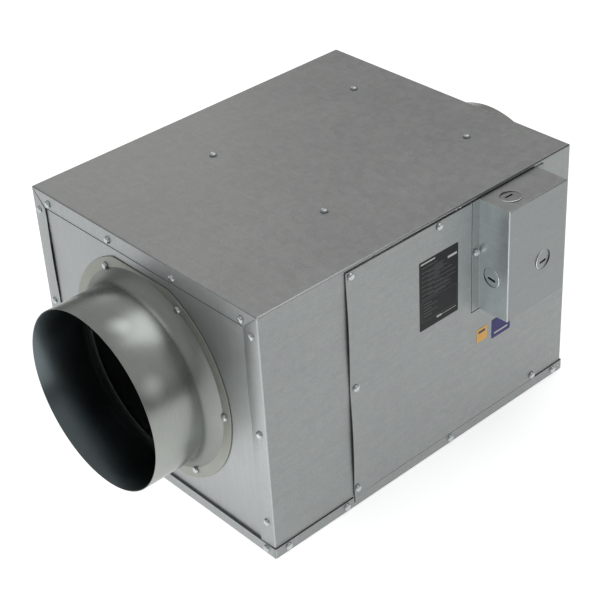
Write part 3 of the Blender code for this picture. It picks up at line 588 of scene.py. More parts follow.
def moulded(name, colour, roughness, texture=0.25):
    """Moulded plastic or rubber with a fine texture and slight wear."""
    made = Finish(name, colour, roughness, 0)
    skin = made.noise(1500, 2)
    wear = made.noise(35, 3)
    made.shade(made.times(made.between(wear, 0.85, 1.2), made.between(skin, 0.94, 1.06)))
    made.dull(made.between(wear, roughness * 0.85, roughness * 1.15))
    made.bump(skin, texture, 0.0001)
    return made.material


def printed_film(name, colour, roughness):
    """Smooth printed film with a slight mottle in its gloss."""
    made = Finish(name, colour, roughness, 0)
    made.shader.inputs["Specular IOR Level"].default_value = 0.3
    mottle = made.noise(160, 3)
    made.shade(made.between(mottle, 0.85, 1.15))
    made.dull(made.between(mottle, roughness * 0.85, roughness * 1.15))
    return made.material


def windings(name, colour):
    """Varnished copper wire wound round the axis."""
    made = Finish(name, colour, 0.38, 1)
    wires = made.noise(900, 1, (1, 0.05, 0.05))
    made.shade(made.between(wires, 0.35, 1.5))
    made.bump(wires, 0.8, 0.0006)
    return made.material


def raw_edge_and_shade(name):
    """The cut edge of the sheet, where bare steel shows; its dark colour is partly that steel and partly
    painted shade of the gaps and slots it borders.
    """
    made = Finish(name, (0.16, 0.165, 0.162), 0.55, 1)
    made.shade(made.between(made.noise(500, 3), 0.6, 1.4))
    return made.material


CASING = galvanised("galvanised_casing", (0.312, 0.327, 0.324), 0.50, 0.04, (1, 1, 12))
# A lighter copy of the casing sheet for the top faces: painted light
TOP_SHEET_LIT = galvanised("galvanised_top_painted_light", (0.345, 0.35, 0.343), 0.50, 0.05, (12, 1, 1))
PANEL = galvanised("galvanised_panel", (0.38, 0.40, 0.40), 0.45, 0.02, (1, 12, 1))
BOX_SHEET = galvanised("galvanised_box", (0.285, 0.300, 0.298), 0.50, 0.02, (1, 1, 12))
# A much lighter copy of the box sheet for its left side: painted light
BOX_SIDE_LIT = galvanised("galvanised_box_side_painted_light", (0.76, 0.82, 0.83), 0.38, 0.03, (1, 1, 12))
# Bends given a painted highlight; the first one fades towards the outlet end
BEND_HIGHLIGHT = bend_highlight("galvanised_bend_painted_highlight", (0.47, 0.49, 0.49), 0.48, 0.25)
BRIGHT_BEND_HIGHLIGHT = bend_highlight("galvanised_bright_bend_painted_highlight", (0.56, 0.59, 0.59), 0.45, 1)
# Knockout rims painted bright: painted highlight
RIM_HIGHLIGHT = plated("sheared_rim_painted_highlight", (0.93, 0.95, 0.95), 0.36)
COLLAR = spun("spun_collar", (0.29, 0.304, 0.285), 0.29, HIGHLIGHT_SPOTS)
COLLAR_OUTLET = spun("spun_collar_outlet", (0.66, 0.67, 0.63), 0.36)
# A darker copy of the collar's sheet for its flare: painted shade
COLLAR_FLARE_SHADE = spun("spun_collar_flare_painted_shade", (0.25, 0.262, 0.245), 0.40)
COLLAR_FLANGE = galvanised("galvanised_collar_flange", (0.37, 0.385, 0.35), 0.58, 0.02, (1, 1, 1))
# A darker copy for the inside of the collars: painted shade
COLLAR_INSIDE_SHADE = spun("spun_collar_inside_painted_shade", (0.120, 0.143, 0.150), 0.32)
ZINC = plated("zinc_screw", (0.50, 0.53, 0.535), 0.24)
STEEL = plated("bright_steel", (0.55, 0.56, 0.57), 0.24)
ALUMINIUM = galvanised("mill_aluminium", (0.62, 0.63, 0.64), 0.34, 0.01, (1, 1, 14))
FOAM = foam("black_foam", (0.010, 0.010, 0.011))
FILM = printed_film("label_film", (0.011, 0.012, 0.013), 0.60)
PRINT_PALE = printed_film("label_print_pale", (0.50, 0.50, 0.48), 0.5)
PRINT_GREY = printed_film("label_print_grey", (0.075, 0.078, 0.080), 0.5)
ORANGE = printed_film("sticker_orange", (0.75, 0.40, 0.09), 0.45)
VIOLET = printed_film("sticker_violet", (0.036, 0.030, 0.15), 0.50)
NYLON = moulded("impeller_nylon", (0.018, 0.018, 0.020), 0.42)
MOTOR_PAINT = moulded("motor_paint", (0.035, 0.035, 0.038), 0.42, 0.5)
CREAM = moulded("terminal_nylon", (0.62, 0.60, 0.52), 0.42)
RUBBER = moulded("grommet_rubber", (0.016, 0.016, 0.016), 0.75)
SHEATH = moulded("lead_sheath", (0.020, 0.020, 0.021), 0.5)
COPPER = windings("motor_winding", (0.42, 0.17, 0.07))
# Cut edges: dark partly as bare steel and partly as painted shade
EDGE_AND_SHADE = raw_edge_and_shade("sheet_edge_and_shade")


# ---- screws


def add_cross_recess(mesh):
    """Two crossed wedges, narrower at the bottom, for the driver's recess."""
    floor = HEAD_HEIGHT - RECESS_DEPTH
    for long_axis in (0, 1):
        for corner in add_block(mesh, (-1, -1, floor), (1, 1, HEAD_HEIGHT + RECESS_RISE)):
            reach, half = RECESS_TOP if corner.co.z > HEAD_HEIGHT else RECESS_FLOOR
            corner.co.x *= reach if long_axis == 0 else half
            corner.co.y *= half if long_axis == 0 else reach


def screw_mesh():
    """A pan-head screw along +Z, seated at the origin, with a washer edge, a dome and a cross recess."""
    rim = WASHER_RIM
    dome = []
    for step in range(7):
        angle = math.radians(90 * step / 6)
        height = rim + (HEAD_HEIGHT - rim) * math.sin(angle)
        dome.append((height, (HEAD_RADIUS - 0.0004) * math.cos(angle) ** 0.55))
    dome[-1] = (HEAD_HEIGHT, 0)
    profile = [
        (-SHANK_LENGTH, 0),
        (-SHANK_LENGTH * SHANK_TAPER, SHANK_RADIUS),
        (0, SHANK_RADIUS),
        (0, HEAD_RADIUS - 0.0002),
        (0.0002, HEAD_RADIUS),
        (rim, HEAD_RADIUS - 0.0001),
        *dome,
    ]
    master = shape("screw_master", add_turned, profile, "Z", (0, 0, 0), SMALL_SIDES)
    cut(master, add_cross_recess)
    settle(master)
    shaped = master.data
    bpy.data.objects.remove(master, do_unlink=True)
    shaped.materials.clear()
    shaped.materials.append(ZINC)
    shaped.shade_smooth()
    shaped.set_sharp_from_angle(angle=math.radians(40))
    return shaped


SCREW = screw_mesh()


def screw_placing(seat, outward, turn):
    """The matrix that seats a screw at a point, facing outward, turned about its own axis."""
    facing = Vector(outward).to_track_quat("Z", "Y").to_matrix().to_4x4()
    return Matrix.Translation(seat) @ facing @ Matrix.Rotation(turn, 4, "Z")


def head_seat(node, outward):
    """Where a packed screw's head sits: the outer end of its box, one head's height back."""
    low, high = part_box(node)
    middle = (low + high) / 2
    direction = Vector(outward)
    reach = abs((high - low).dot(direction)) / 2
    return middle + direction * (reach - HEAD_HEIGHT)


def screw_seats(*names):
    """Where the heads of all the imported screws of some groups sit."""
    seats = []
    for name in names:
        count, outward, _ = SCREW_GROUPS[name]
        seats += [head_seat(f"{name}_{i}", outward) for i in range(1, count + 1)]
    return seats


def cut_screw_holes(target, depth, *names):
    """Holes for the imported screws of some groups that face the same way."""
    axis = axis_of(SCREW_GROUPS[names[0]][1])
    cut(target, add_holes, axis, screw_seats(*names), SCREW_HOLE_RADIUS, depth)


def place_packed_screws():
    """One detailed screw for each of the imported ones."""
    for name, (count, outward, body) in SCREW_GROUPS.items():
        for i in range(1, count + 1):
            made = bpy.data.objects.new(f"{name}_{i}_detail", SCREW)
            bpy.context.scene.collection.objects.link(made)
            turn = 1.7 * i + len(name)
            made.matrix_world = screw_placing(head_seat(f"{name}_{i}", outward), outward, turn)
            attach(made, body)
            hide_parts(f"{name}_{i}")


def sheet_screws(name, seats, outward):
    """A group of screws that hold the cabinet's sheets together, as one piece."""
    mesh = bmesh.new()
    for i, seat in enumerate(seats):
        start = len(mesh.verts)
        mesh.from_mesh(SCREW)
        mesh.verts.ensure_lookup_table()
        placing = screw_placing(seat, outward, 0.9 + 2.3 * i)
        bmesh.ops.transform(mesh, matrix=placing, verts=mesh.verts[start:])
    made = link(name, mesh)
    finish_piece(made, ZINC, "cabinet", sharp=40)


def place_sheet_screws():
    """The screws along the end flanges, the tray's ends and the tray's sides."""
    for end, side in (("inlet", -1), ("outlet", 1)):
        seats = [Vector((side * END_X, y, TOP_FLANGE_SCREW_Z)) for y in TOP_FLANGE_SCREWS_Y]
        seats += [Vector((side * END_X, y, z)) for y in (-END_SCREW_Y, END_SCREW_Y) for z in END_SCREW_Z]
        tray_y, tray_z = TRAY_END_SCREW
        seats += [Vector((side * TRAY_HIGH.x, y, tray_z)) for y in (-tray_y, tray_y)]
        sheet_screws(f"{end}_flange_screws", seats, (side, 0, 0))
    for name, side in (("service", -1), ("back", 1)):
        seats = [Vector((x, side * TRAY_HIGH.y, TRAY_SIDE_SCREW_Z)) for x in TRAY_SIDE_SCREWS_X]
        sheet_screws(f"{name}_side_tray_screws", seats, (0, side, 0))


# ---- cabinet


def tray_seams(mesh):
    """Thin vertical gaps where the tray's upstands meet at its corners."""
    for end in (-1, 1):
        for side in (-1, 1):
            near, far = span(end, TRAY_HIGH.x - 0.5 * SHEET, TRAY_HIGH.x + SHEET)
            y = side * (TRAY_HIGH.y - SHEET - CORNER_SEAM)
            add_block(mesh, (near, y - CORNER_SEAM / 2, BEND), (far, y + CORNER_SEAM / 2, UPSTAND * 2))


def tray_hems(mesh):
    """The folded-in top edges of the tray's end upstands, between the wrapper's side flanges."""
    reach = SIDE_Y - FLANGE_SIDE - SHEET
    for end in (-1, 1):
        near, far = span(end, TRAY_HIGH.x - SHEET - HEM, TRAY_HIGH.x - SHEET / 2)
        add_block(mesh, (near, -reach, UPSTAND - HEM_DEPTH), (far, reach, UPSTAND))


def tray_relief(mesh):
    """The short slot in the tray's upstand below the cover's left edge."""
    low = (COVER_LOW.x - RELIEF_WIDTH / 2, TRAY_LOW.y - SHEET, RELIEF_BASE)
    high = (COVER_LOW.x + RELIEF_WIDTH / 2, TRAY_LOW.y + 2 * SHEET, UPSTAND + SHEET)
    add_block(mesh, low, high)


def tray_finish(face):
    """The cut top edges along the sides, darkened partly as painted shade of the seam there, the end upstands
    with their hems, and the rest.
    """
    if abs(face.normal.x) > 0.7 or abs(face.center.x) > TRAY_HIGH.x - 3 * SHEET:
        return 2
    return int(face.normal.z > 0.9 and face.center.z > UPSTAND / 2)


def make_base_tray():
    """A shallow tray folded up on all four sides, with hemmed ends, corner seams and a relief slot."""
    tray = shape(
        "base_tray_sheet",
        add_folded_block,
        TRAY_LOW,
        TRAY_HIGH,
        lambda edge: min(v.co.z for v in edge.verts) < SHEET,
    )
    inner = Vector((TRAY_HIGH.x - SHEET, TRAY_HIGH.y - SHEET, 0))
    cut(tray, add_block, (-inner.x, -inner.y, SHEET), (inner.x, inner.y, UPSTAND * 2))
    join(tray, tray_hems)
    cut(tray, tray_seams)
    cut(tray, tray_relief)
    round_edges(tray)
    settle(tray)
    finish_piece(tray, CASING, "cabinet", ["base_tray"])
    paint_faces(tray, (CASING, EDGE_AND_SHADE, PANEL), tray_finish)


def cover_opening(mesh):
    """The L-shaped opening behind the access cover, and the slit above it."""
    outline = (
        (OPENING_BASE, OPENING_LEFT),
        (OPENING_BASE, OPENING_RIGHT),
        (OPENING_STEP_Z, OPENING_RIGHT),
        (OPENING_STEP_Z, OPENING_STEP_X),
        (OPENING_TOP, OPENING_STEP_X),
        (OPENING_TOP, OPENING_LEFT),
    )
    outside, inside = -SIDE_Y - 3 * SHEET, -SIDE_Y + 2 * SHEET
    add_prism(mesh, rounded(outline, OPENING_CORNER), "Y", outside, inside)
    add_block(mesh, (COVER_LOW.x, outside, SLIT_BASE), (SLIT_RIGHT, inside, SLIT_TOP))


def end_windows(mesh):
    """The cabinet's open ends, inside the wrapper's flanges."""
    for side in (-1, 1):
        near, far = span(side, END_X - 2 * SHEET, END_X + 3 * SHEET)
        low = (near, FLANGE_SIDE - SIDE_Y, -SHEET)
        high = (far, SIDE_Y - FLANGE_SIDE, TOP - FLANGE_TOP)
        add_block(mesh, low, high)


def mitre_slits(mesh):
    """Thin diagonal cuts that part the top flange from the side flanges."""
    for end in (-1, 1):
        near, far = span(end, END_X - 1.5 * SHEET, END_X + SHEET)
        for side in (-1, 1):
            inner = Vector((side * (SIDE_Y - FLANGE_SIDE - SHEET), TOP - FLANGE_TOP - SHEET))
            outer = Vector((side * (SIDE_Y - 1.6 * SHEET), TOP - 1.6 * SHEET))
            across = (outer - inner).orthogonal().normalized() * SHEET * 0.3
            outline = (inner - across, inner + across, outer + across, outer - across)
            add_prism(mesh, outline, "X", near, far)


def bow_side_flanges(mesh):
    """The side flanges stand a little off the end panel between their screws."""
    stops = (WRAP_LOW.z, *END_SCREW_Z, TOP)
    for vertex in mesh.verts:
        inward = (SIDE_Y - BEND - abs(vertex.co.y)) / FLANGE_SIDE
        if abs(vertex.co.x) < END_X - 1.1 * SHEET or not 0 < inward <= 1:
            continue
        for low, high in zip(stops, stops[1:]):
            if low <= vertex.co.z < high and vertex.co.z < TOP - FLANGE_TOP:
                swell = math.sin(math.pi * (vertex.co.z - low) / (high - low))
                vertex.co.x += math.copysign(FLANGE_BOW * inward**2 * swell, vertex.co.x)


def make_wrapper():
    """Top and two sides from one folded sheet, with flanges turned in round both ends."""
    wrapper = shape(
        "casing_wrapper_sheet",
        add_folded_block,
        WRAP_LOW,
        WRAP_HIGH,
        lambda edge: max(v.co.z for v in edge.verts) > TOP - GAP,
    )
    inner = Vector((END_X - SHEET, SIDE_Y - SHEET, TOP - SHEET))
    cut(wrapper, add_block, (-inner.x, -inner.y, -SHEET), inner)
    cut(wrapper, end_windows)
    cut(wrapper, mitre_slits)
    cut(wrapper, cover_opening)
    cut_screw_holes(wrapper, SHEET * 10, "cover_screw", "junction_box_screw")
    cut_screw_holes(wrapper, SHEET * 4, "hanger_screw")
    grommet_low, grommet_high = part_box("lead_grommet")
    hole = (grommet_high.z - grommet_low.z) / 2 - 2 * SHEET
    cut(wrapper, add_holes, "Y", [(grommet_low + grommet_high) / 2], hole, SHEET * 6, SMALL_SIDES)
    round_edges(wrapper)
    settle(wrapper)
    slices = [("Z", steps_between(WRAP_LOW.z, TOP - FLANGE_TOP, FLANGE_SLICE))]
    bow_sheet(wrapper, slices, bow_side_flanges)
    finish_piece(wrapper, CASING, "cabinet", ["casing_wrapper"])
    paint_faces(wrapper, (CASING, TOP_SHEET_LIT, EDGE_AND_SHADE, PANEL, BEND_HIGHLIGHT), wrapper_finish)


def wrapper_finish(face):
    """The top sheet in a lighter copy as painted light, the cut edges darkened partly as painted shade, the
    end flanges, the bends beside the sides with a painted highlight, and the rest.
    """
    normal = [abs(part) for part in face.normal]
    if face.normal.z > 0.95 and face.center.z > TOP - BEND:
        return 1
    at_side = abs(face.center.y) > SIDE_Y - BEND
    if at_side and 0.2 < normal[1] < 0.98 and max(normal[0], normal[2]) > 0.2:
        return 4
    if abs(face.center.x) > END_X - 0.2 * SHEET and normal[0] > 0.9:
        return 3
    if face.center.z > TOP - BEND:
        return 0
    in_flange = abs(face.center.x) > END_X - 1.05 * SHEET and abs(face.normal.x) < 0.3
    inside_ends = abs(face.center.y) < SIDE_Y - 2 * SHEET
    if in_flange and inside_ends:
        return 2
    in_side = abs(face.center.y) > SIDE_Y - 1.05 * SHEET and abs(face.normal.y) < 0.3
    clear_of_ends = abs(face.center.x) < END_X - 2 * SHEET
    return 2 if in_side and clear_of_ends else 0


def make_end_panel(end, side):
    """The plate behind the wrapper's end flanges, with the duct opening."""
    low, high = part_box(f"{end}_end_panel")
    panel = shape(f"{end}_end_plate", add_block, low, high)
    centre = (high.x if side > 0 else low.x, 0, AXIS_Z)
    cut(panel, add_holes, "X", [centre], PANEL_HOLE_RADIUS, SHEET * 8, DUCT_SIDES)
    cut_screw_holes(panel, SHEET * 12, f"{end}_collar_screw")
    round_edges(panel)
    settle(panel)
    finish_piece(panel, PANEL, "cabinet", [f"{end}_end_panel"])


def collar_profile():
    """Tube, flare and flange of a spun spigot, as distance from the cabinet's middle and radius."""
    tube_end = abs(COLLAR_LOW.x)
    outer, inner = [], []
    for step in range(COLLAR_FLARE_STEPS + 1):
        share = step / COLLAR_FLARE_STEPS
        x = END_X + COLLAR_FLARE_LENGTH * (1 - share)
        radius = COLLAR_RADIUS + COLLAR_FLARE * share**2
        outer.append((x, radius))
        inner.append((x - SHEET * share, radius - SHEET * (1 - share)))
    edge = 0.0002
    flange = [
        (END_X, COLLAR_FLANGE_RADIUS - edge),
        (END_X - edge, COLLAR_FLANGE_RADIUS),
        (END_X - SHEET + edge, COLLAR_FLANGE_RADIUS),
        (END_X - SHEET, COLLAR_FLANGE_RADIUS - edge),
    ]
    rim = [
        (tube_end - edge, COLLAR_RADIUS - SHEET),
        (tube_end, COLLAR_RADIUS - SHEET + edge),
        (tube_end, COLLAR_RADIUS - edge),
        (tube_end - edge, COLLAR_RADIUS),
    ]
    return outer + flange + inner[::-1] + rim


def make_collar(end, side):
    """A spun spigot: straight tube, flare at its root, and a flat flange with two flats."""
    mesh = bmesh.new()
    profile = [(side * x, radius) for x, radius in collar_profile()]
    add_turned(mesh, profile, "X", (0, 0, AXIS_Z), DUCT_SIDES)
    for vertex in mesh.verts:
        vertex.co.z = min(max(vertex.co.z, AXIS_Z - COLLAR_FLAT), AXIS_Z + COLLAR_FLAT)
    collar = link(f"{end}_collar_spun", mesh)
    cut_screw_holes(collar, SHEET * 8, f"{end}_collar_screw")
    settle(collar)
    tube = COLLAR if end == "inlet" else COLLAR_OUTLET
    finish_piece(collar, tube, "cabinet", [f"{end}_collar"], sharp=50)
    paint_faces(collar, (tube, EDGE_AND_SHADE, COLLAR_INSIDE_SHADE, COLLAR_FLANGE, COLLAR_FLARE_SHADE), collar_finish)


def collar_finish(face):
    """The rim's cut edge, the inside of the tube and flare in a darker copy as painted shade, the flange, the
    flare in a darker copy as painted shade, and the tube.
    """
    if abs(face.center.x) > abs(COLLAR_LOW.x) - 0.0001:
        return 1
    if abs(face.center.x) < END_X + 0.0001:
        return 3
    outward = Vector((0, face.center.y, face.center.z - AXIS_Z))
    if face.normal.dot(outward) < 0:
        return 2
    return 4 if abs(face.center.x) < END_X + COLLAR_FLARE_LENGTH else 0


def bow_cover(mesh):
    """The cover's free left edge stands off the cabinet between its screws."""
    screws = sorted(seat.z for seat in screw_seats("cover_screw")[:3])
    stops = (COVER_LOW.z - COVER_LIP, *screws, COVER_HIGH.z + COVER_LIP)
    for vertex in mesh.verts:
        share = 1 - (vertex.co.x - COVER_LOW.x) / COVER_BOW_REACH
        if share <= 0:
            continue
        for low, high in zip(stops, stops[1:]):
            if low <= vertex.co.z < high:
                swell = math.sin(math.pi * (vertex.co.z - low) / (high - low))
                vertex.co.y -= COVER_BOW * share**2 * swell * min(1, (high - low) / 0.1)


def make_access_cover():
    """A flat plate with a notch for the junction box and a bowed free edge."""
    outline = (
        (COVER_LOW.z, COVER_LOW.x),
        (COVER_LOW.z, COVER_HIGH.x),
        (NOTCH_BASE, COVER_HIGH.x),
        (NOTCH_BASE, NOTCH_LEFT),
        (COVER_HIGH.z, NOTCH_LEFT),
        (COVER_HIGH.z, COVER_LOW.x),
    )
    outline = rounded(outline, COVER_CORNER)
    cover = shape("access_cover_sheet", add_prism, outline, "Y", COVER_LOW.y, COVER_HIGH.y)
    cut_screw_holes(cover, SHEET * 10, "cover_screw")
    round_edges(cover)
    settle(cover)
    slices = [
        ("Z", steps_between(COVER_LOW.z, COVER_HIGH.z, SLICE)),
        ("X", [COVER_LOW.x + SLICE * i for i in range(1, 7)]),
    ]
    bow_sheet(cover, slices, bow_cover)
    finish_piece(cover, CASING, "cover_unit", ["access_cover"])
    # The cover's edges take the dark edge finish: bare steel, and painted shade of the gap behind the free
    # edge
    paint_faces(cover, (CASING, EDGE_AND_SHADE), lambda face: int(abs(face.normal.y) < 0.3))


def make_liner(node):
    """A foam slab with rounded edges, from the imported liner's box."""
    low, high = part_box(node)
    liner = shape(f"{node}_foam", add_block, low, high)
    if node != "back_liner":
        centre = (low + high) / 2
        cut(liner, add_holes, "X", [(centre.x, 0, AXIS_Z)], LINER_HOLE_RADIUS, 0.05, DUCT_SIDES)
    round_edges(liner, LINER_ROUND, 3)
    settle(liner)
    finish_piece(liner, FOAM, "cabinet", [node])


# ---- label and stickers


def film(name, low, high, radius, finish):
    """A thin rounded rectangle on the access cover, between two corners."""
    outline = ((low[2], low[0]), (low[2], high[0]), (high[2], high[0]), (high[2], low[0]))
    made = shape(name, add_prism, rounded(outline, radius), "Y", low[1], high[1])
    return finish_piece(made, finish, "cover_unit")


def label_bars(mesh, x, z, face, bars):
    """Thin raised bars, as (left, right, top, height) in millimetres from the label's top left corner."""
    for left, right, top, height in bars:
        low = (x + left / 1000, face - 0.00006, z - (top + height) / 1000)
        high = (x + right / 1000, face + 0.00005, z - top / 1000)
        add_block(mesh, low, high)


def make_rating_label():
    """A black plate with plain bars where a maker prints its data."""
    low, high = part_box("rating_label")
    low.y, high.y = COVER_LOW.y - FILM_DEPTH, COVER_LOW.y + FILM_SINK
    plate = film("rating_label_film", low, high, 0.0012, FILM)
    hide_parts("rating_label")
    width = (high.x - low.x) * 1000
    bars = ((2.0, 22.0, 2.2, 1.6), (40.0, 53.0, 9.6, 2.6), (24.0, 31.0, 72.6, 2.0), (31.0, 52.0, 73.4, 0.5))
    pale = shape("label_print_pale_bars", label_bars, low.x, high.z, low.y, bars)
    finish_piece(pale, PRINT_PALE, "cover_unit")
    rows = []
    for row in range(22):
        top = 7.5 + row * 1.75
        left = 3.0 + 9.0 * (row % 3)
        length = 14.0 + 17.0 * (0.5 + 0.5 * math.sin(2.4 * row))
        if top > 12.5 or left + length < 38:
            rows.append((left, min(left + length, width - 4), top, 0.75))
    rows += [(2.5, width - 2.5, 47.0, 0.35), (2.5, width - 2.5, 70.5, 0.35)]
    rows += [(2.5, 2.85, 47.0, 23.8), (width - 2.85, width - 2.5, 47.0, 23.8)]
    rows += [(5.0, 5.0 + 12.0 + 8.0 * (row % 2), 50.5 + row * 3.6, 0.8) for row in range(5)]
    grey = shape("label_print_grey_bars", label_bars, low.x, high.z, low.y, rows)
    finish_piece(grey, PRINT_GREY, "cover_unit")


def make_stickers():
    """Two small plain stickers below the junction box, each with a plain printed bar."""
    back = COVER_LOW.y + FILM_SINK
    face = COVER_LOW.y - FILM_DEPTH
    print_face = face - FILM_SINK
    film("orange_sticker", (0.073, face, 0.109), (0.0885, back, 0.1255), 0.0008, ORANGE)
    film("orange_sticker_bar", (0.0755, print_face, 0.1195), (0.086, face, 0.1225), 0.0004, PRINT_GREY)
    film("violet_sticker", (0.096, face, 0.103), (0.125, back, 0.1265), 0.002, VIOLET)
    film("violet_sticker_bar", (0.100, print_face, 0.1075), (0.121, face, 0.1095), 0.0004, PRINT_PALE)


# ---- junction box


KNOCKOUTS = (
    # name, centre on the face, outward normal, direction of the slot, direction whose edge stands proud
    ("front", (0.128, STRIP_LOW.y, 0.204), (0, -1, 0), (1, 0, 0), (-1, 0, 0.25)),
    ("left", (BOX_LEFT, -0.1915, 0.197), (-1, 0, 0), (0, 1, 0), (0, -1, 0.35)),
    ("top", (0.099, -0.194, STRIP_HIGH.z), (0, 0, 1), (1, 0, 0), (-0.2, -1, 0)),
)

KNOCKOUT_SHEETS = {"front": BOX_SHEET, "left": BOX_SIDE_LIT, "top": TOP_SHEET_LIT}


def add_knockout_holes(mesh):
    for _, centre, outward, _, _ in KNOCKOUTS:
        radius = KNOCKOUT_RADIUS + KNOCKOUT_CLEARANCE
        add_holes(mesh, axis_of(outward), [centre], radius, 4 * SHEET, KNOCKOUT_SIDES)


def knockout_finish(face):
    """The blank's sheared rim painted bright as a painted highlight, the walls of its slot darkened as
    painted shade, and its faces.
    """
    if face.center.xy.length > KNOCKOUT_RADIUS - KNOCKOUT_EDGE:
        return 1
    return 2 if abs(face.normal.z) < 0.5 else 0


def make_knockout(name, centre, outward, slot_direction, proud):
    """A round blank with a pry slot, tilted a little in its hole, with two ties left to the box."""
    radius, edge = KNOCKOUT_RADIUS, KNOCKOUT_EDGE
    profile = (
        (-SHEET, 0),
        (-SHEET, radius - edge),
        (-SHEET + edge, radius),
        (-edge, radius),
        (0, radius - edge),
        (0, 0),
    )
    blank = shape(f"knockout_{name}", add_turned, profile, "Z", (0, 0, 0), KNOCKOUT_SIDES)
    half = KNOCKOUT_SLOT / 2
    drop = -KNOCKOUT_SLOT_DROP
    cut(blank, add_block, (-half.x, drop - half.y, -2 * SHEET), (half.x, drop + half.y, SHEET))
    settle(blank)
    paint_faces(blank, (KNOCKOUT_SHEETS[name], RIM_HIGHLIGHT, EDGE_AND_SHADE), knockout_finish)
    normal = Vector(outward)
    across = Vector(slot_direction)
    upright = normal.cross(across)
    if upright.z < 0 or (abs(upright.z) < 0.5 and upright.y > 0):
        across, upright = -across, -upright
    facing = Matrix((across, upright, normal)).transposed().to_4x4()
    lift = Vector(proud).normalized()
    tilt_axis = lift.cross(normal)
    tilt = Matrix.Rotation(math.radians(KNOCKOUT_TILT), 4, tilt_axis)
    seat = Matrix.Translation(Vector(centre) - normal * KNOCKOUT_SINK)
    blank.data.transform(seat @ tilt @ facing)
    tie = bmesh.new()
    for way in (-1, 1):
        middle = Vector(centre) + way * tilt_axis * (radius + KNOCKOUT_CLEARANCE / 2) - normal * SHEET * 0.5
        add_block(tie, middle - Vector((1, 1, 1)) * SHEET * 0.4, middle + Vector((1, 1, 1)) * SHEET * 0.4)
    ties = link(f"knockout_{name}_ties", tie)
    for made in (blank, ties):
        finish_piece(made, KNOCKOUT_SHEETS[name], "junction_box_unit")


def box_finish(face):
    """The top in a lighter copy as painted light, the left side painted lighter as painted light, the bend
    beside it with a painted highlight, and the rest.
    """
    if face.normal.z > 0.9 and face.center.z > STRIP_HIGH.z - BEND:
        return 3
    if face.center.x > BOX_LEFT + 2 * SHEET:
        return 0
    if -0.95 < face.normal.x < -0.2 and face.normal.y < -0.2:
        return 2
    return int(face.normal.x < -0.9)


def make_junction_box():
    """A five-sided box folded from one sheet, open towards the cabinet, with a screw strip down each side."""
    box = shape(
        "junction_box_sheet",
        add_folded_block,
        (BOX_LEFT, STRIP_LOW.y, STRIP_LOW.z),
        (BOX_RIGHT, STRIP_HIGH.y, STRIP_HIGH.z),
        lambda edge: max(v.co.y for v in edge.verts) < STRIP_LOW.y + SHEET,
        BOX_BEND,
    )
    strip_low = Vector((STRIP_LOW.x, STRIP_HIGH.y - SHEET, STRIP_LOW.z))
    join(box, add_block, strip_low, STRIP_HIGH)
    inside_low = Vector((BOX_LEFT + SHEET, STRIP_LOW.y + SHEET, STRIP_LOW.z + SHEET))
    inside_high = Vector((BOX_RIGHT - SHEET, STRIP_HIGH.y + SHEET, STRIP_HIGH.z - SHEET))
    cut(box, add_block, inside_low, inside_high)
    cut(box, add_knockout_holes)
    cut_screw_holes(box, SHEET * 10, "junction_box_screw")
    round_edges(box)
    settle(box)
    finish_piece(box, BOX_SHEET, "junction_box_unit", ["junction_box"])
    paint_faces(box, (BOX_SHEET, BOX_SIDE_LIT, BRIGHT_BEND_HIGHLIGHT, TOP_SHEET_LIT), box_finish)
    for knockout in KNOCKOUTS:
        make_knockout(*knockout)


def add_terminal_screws(mesh, wells):
    """A flat screw at the bottom of each well."""
    profile = ((0.002, 0), (0.002, 0.0017), (0.0035, 0.0017), (0.0035, 0))
    for well in wells:
        add_turned(mesh, profile, "Y", well, 20)


def make_terminal_block():
    """A moulded block with a row of wells, a groove between each two, and a screw in each."""
    low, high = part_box("terminal_block")
    pitch = (high.x - low.x) / TERMINAL_WAYS
    block = shape("terminal_block_moulding", add_block, low, high)
    wells = [(low.x + pitch * (i + 0.5), low.y, high.z - WELL_DROP) for i in range(TERMINAL_WAYS)]
    cut(block, add_holes, "Y", wells, WELL_RADIUS, WELL_DEPTH, 20)
    for i in range(1, TERMINAL_WAYS):
        x = low.x + pitch * i
        groove_low = (x - GROOVE_WIDTH / 2, low.y - SHEET, low.z + GROOVE_BASE)
        cut(block, add_block, groove_low, (x + GROOVE_WIDTH / 2, low.y + GROOVE_DEPTH, high.z + SHEET))
    round_edges(block, 0.0003)
    settle(block)
    finish_piece(block, CREAM, "cabinet", ["terminal_block"])
    heads = shape("terminal_screws", add_terminal_screws, wells)
    finish_piece(heads, ZINC, "cabinet")


def make_capacitor():
    """A drawn aluminium can with a bead below its rolled edge, and a short stud on top."""
    low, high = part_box("run_capacitor")
    middle = (low + high) / 2
    radius = (high.x - low.x) / 2
    shoulder = high.z - CAN_STUD_HEIGHT
    profile = [
        (low.z, 0),
        (low.z, radius - CAN_ROUND),
        *arc((low.z + CAN_ROUND, radius - CAN_ROUND), CAN_ROUND, 180, 90, 5),
        (shoulder - 0.004, radius),
        (shoulder - 0.0032, radius - 0.0009),
        (shoulder - 0.0018, radius - 0.0009),
        *arc((shoulder - CAN_ROLL, radius - CAN_ROLL), CAN_ROLL, 100, 0, 4),
        (shoulder - 0.001, radius - CAN_ROUND),
        (shoulder - 0.001, CAN_STUD_RADIUS),
        (high.z - 0.0006, CAN_STUD_RADIUS),
        (high.z, 0.0034),
        (high.z, 0),
    ]
    can = shape("run_capacitor_can", add_turned, profile, "Z", (middle.x, middle.y, 0), CAN_SIDES)
    finish_piece(can, ALUMINIUM, "cabinet", ["run_capacitor"])


# ---- fan unit


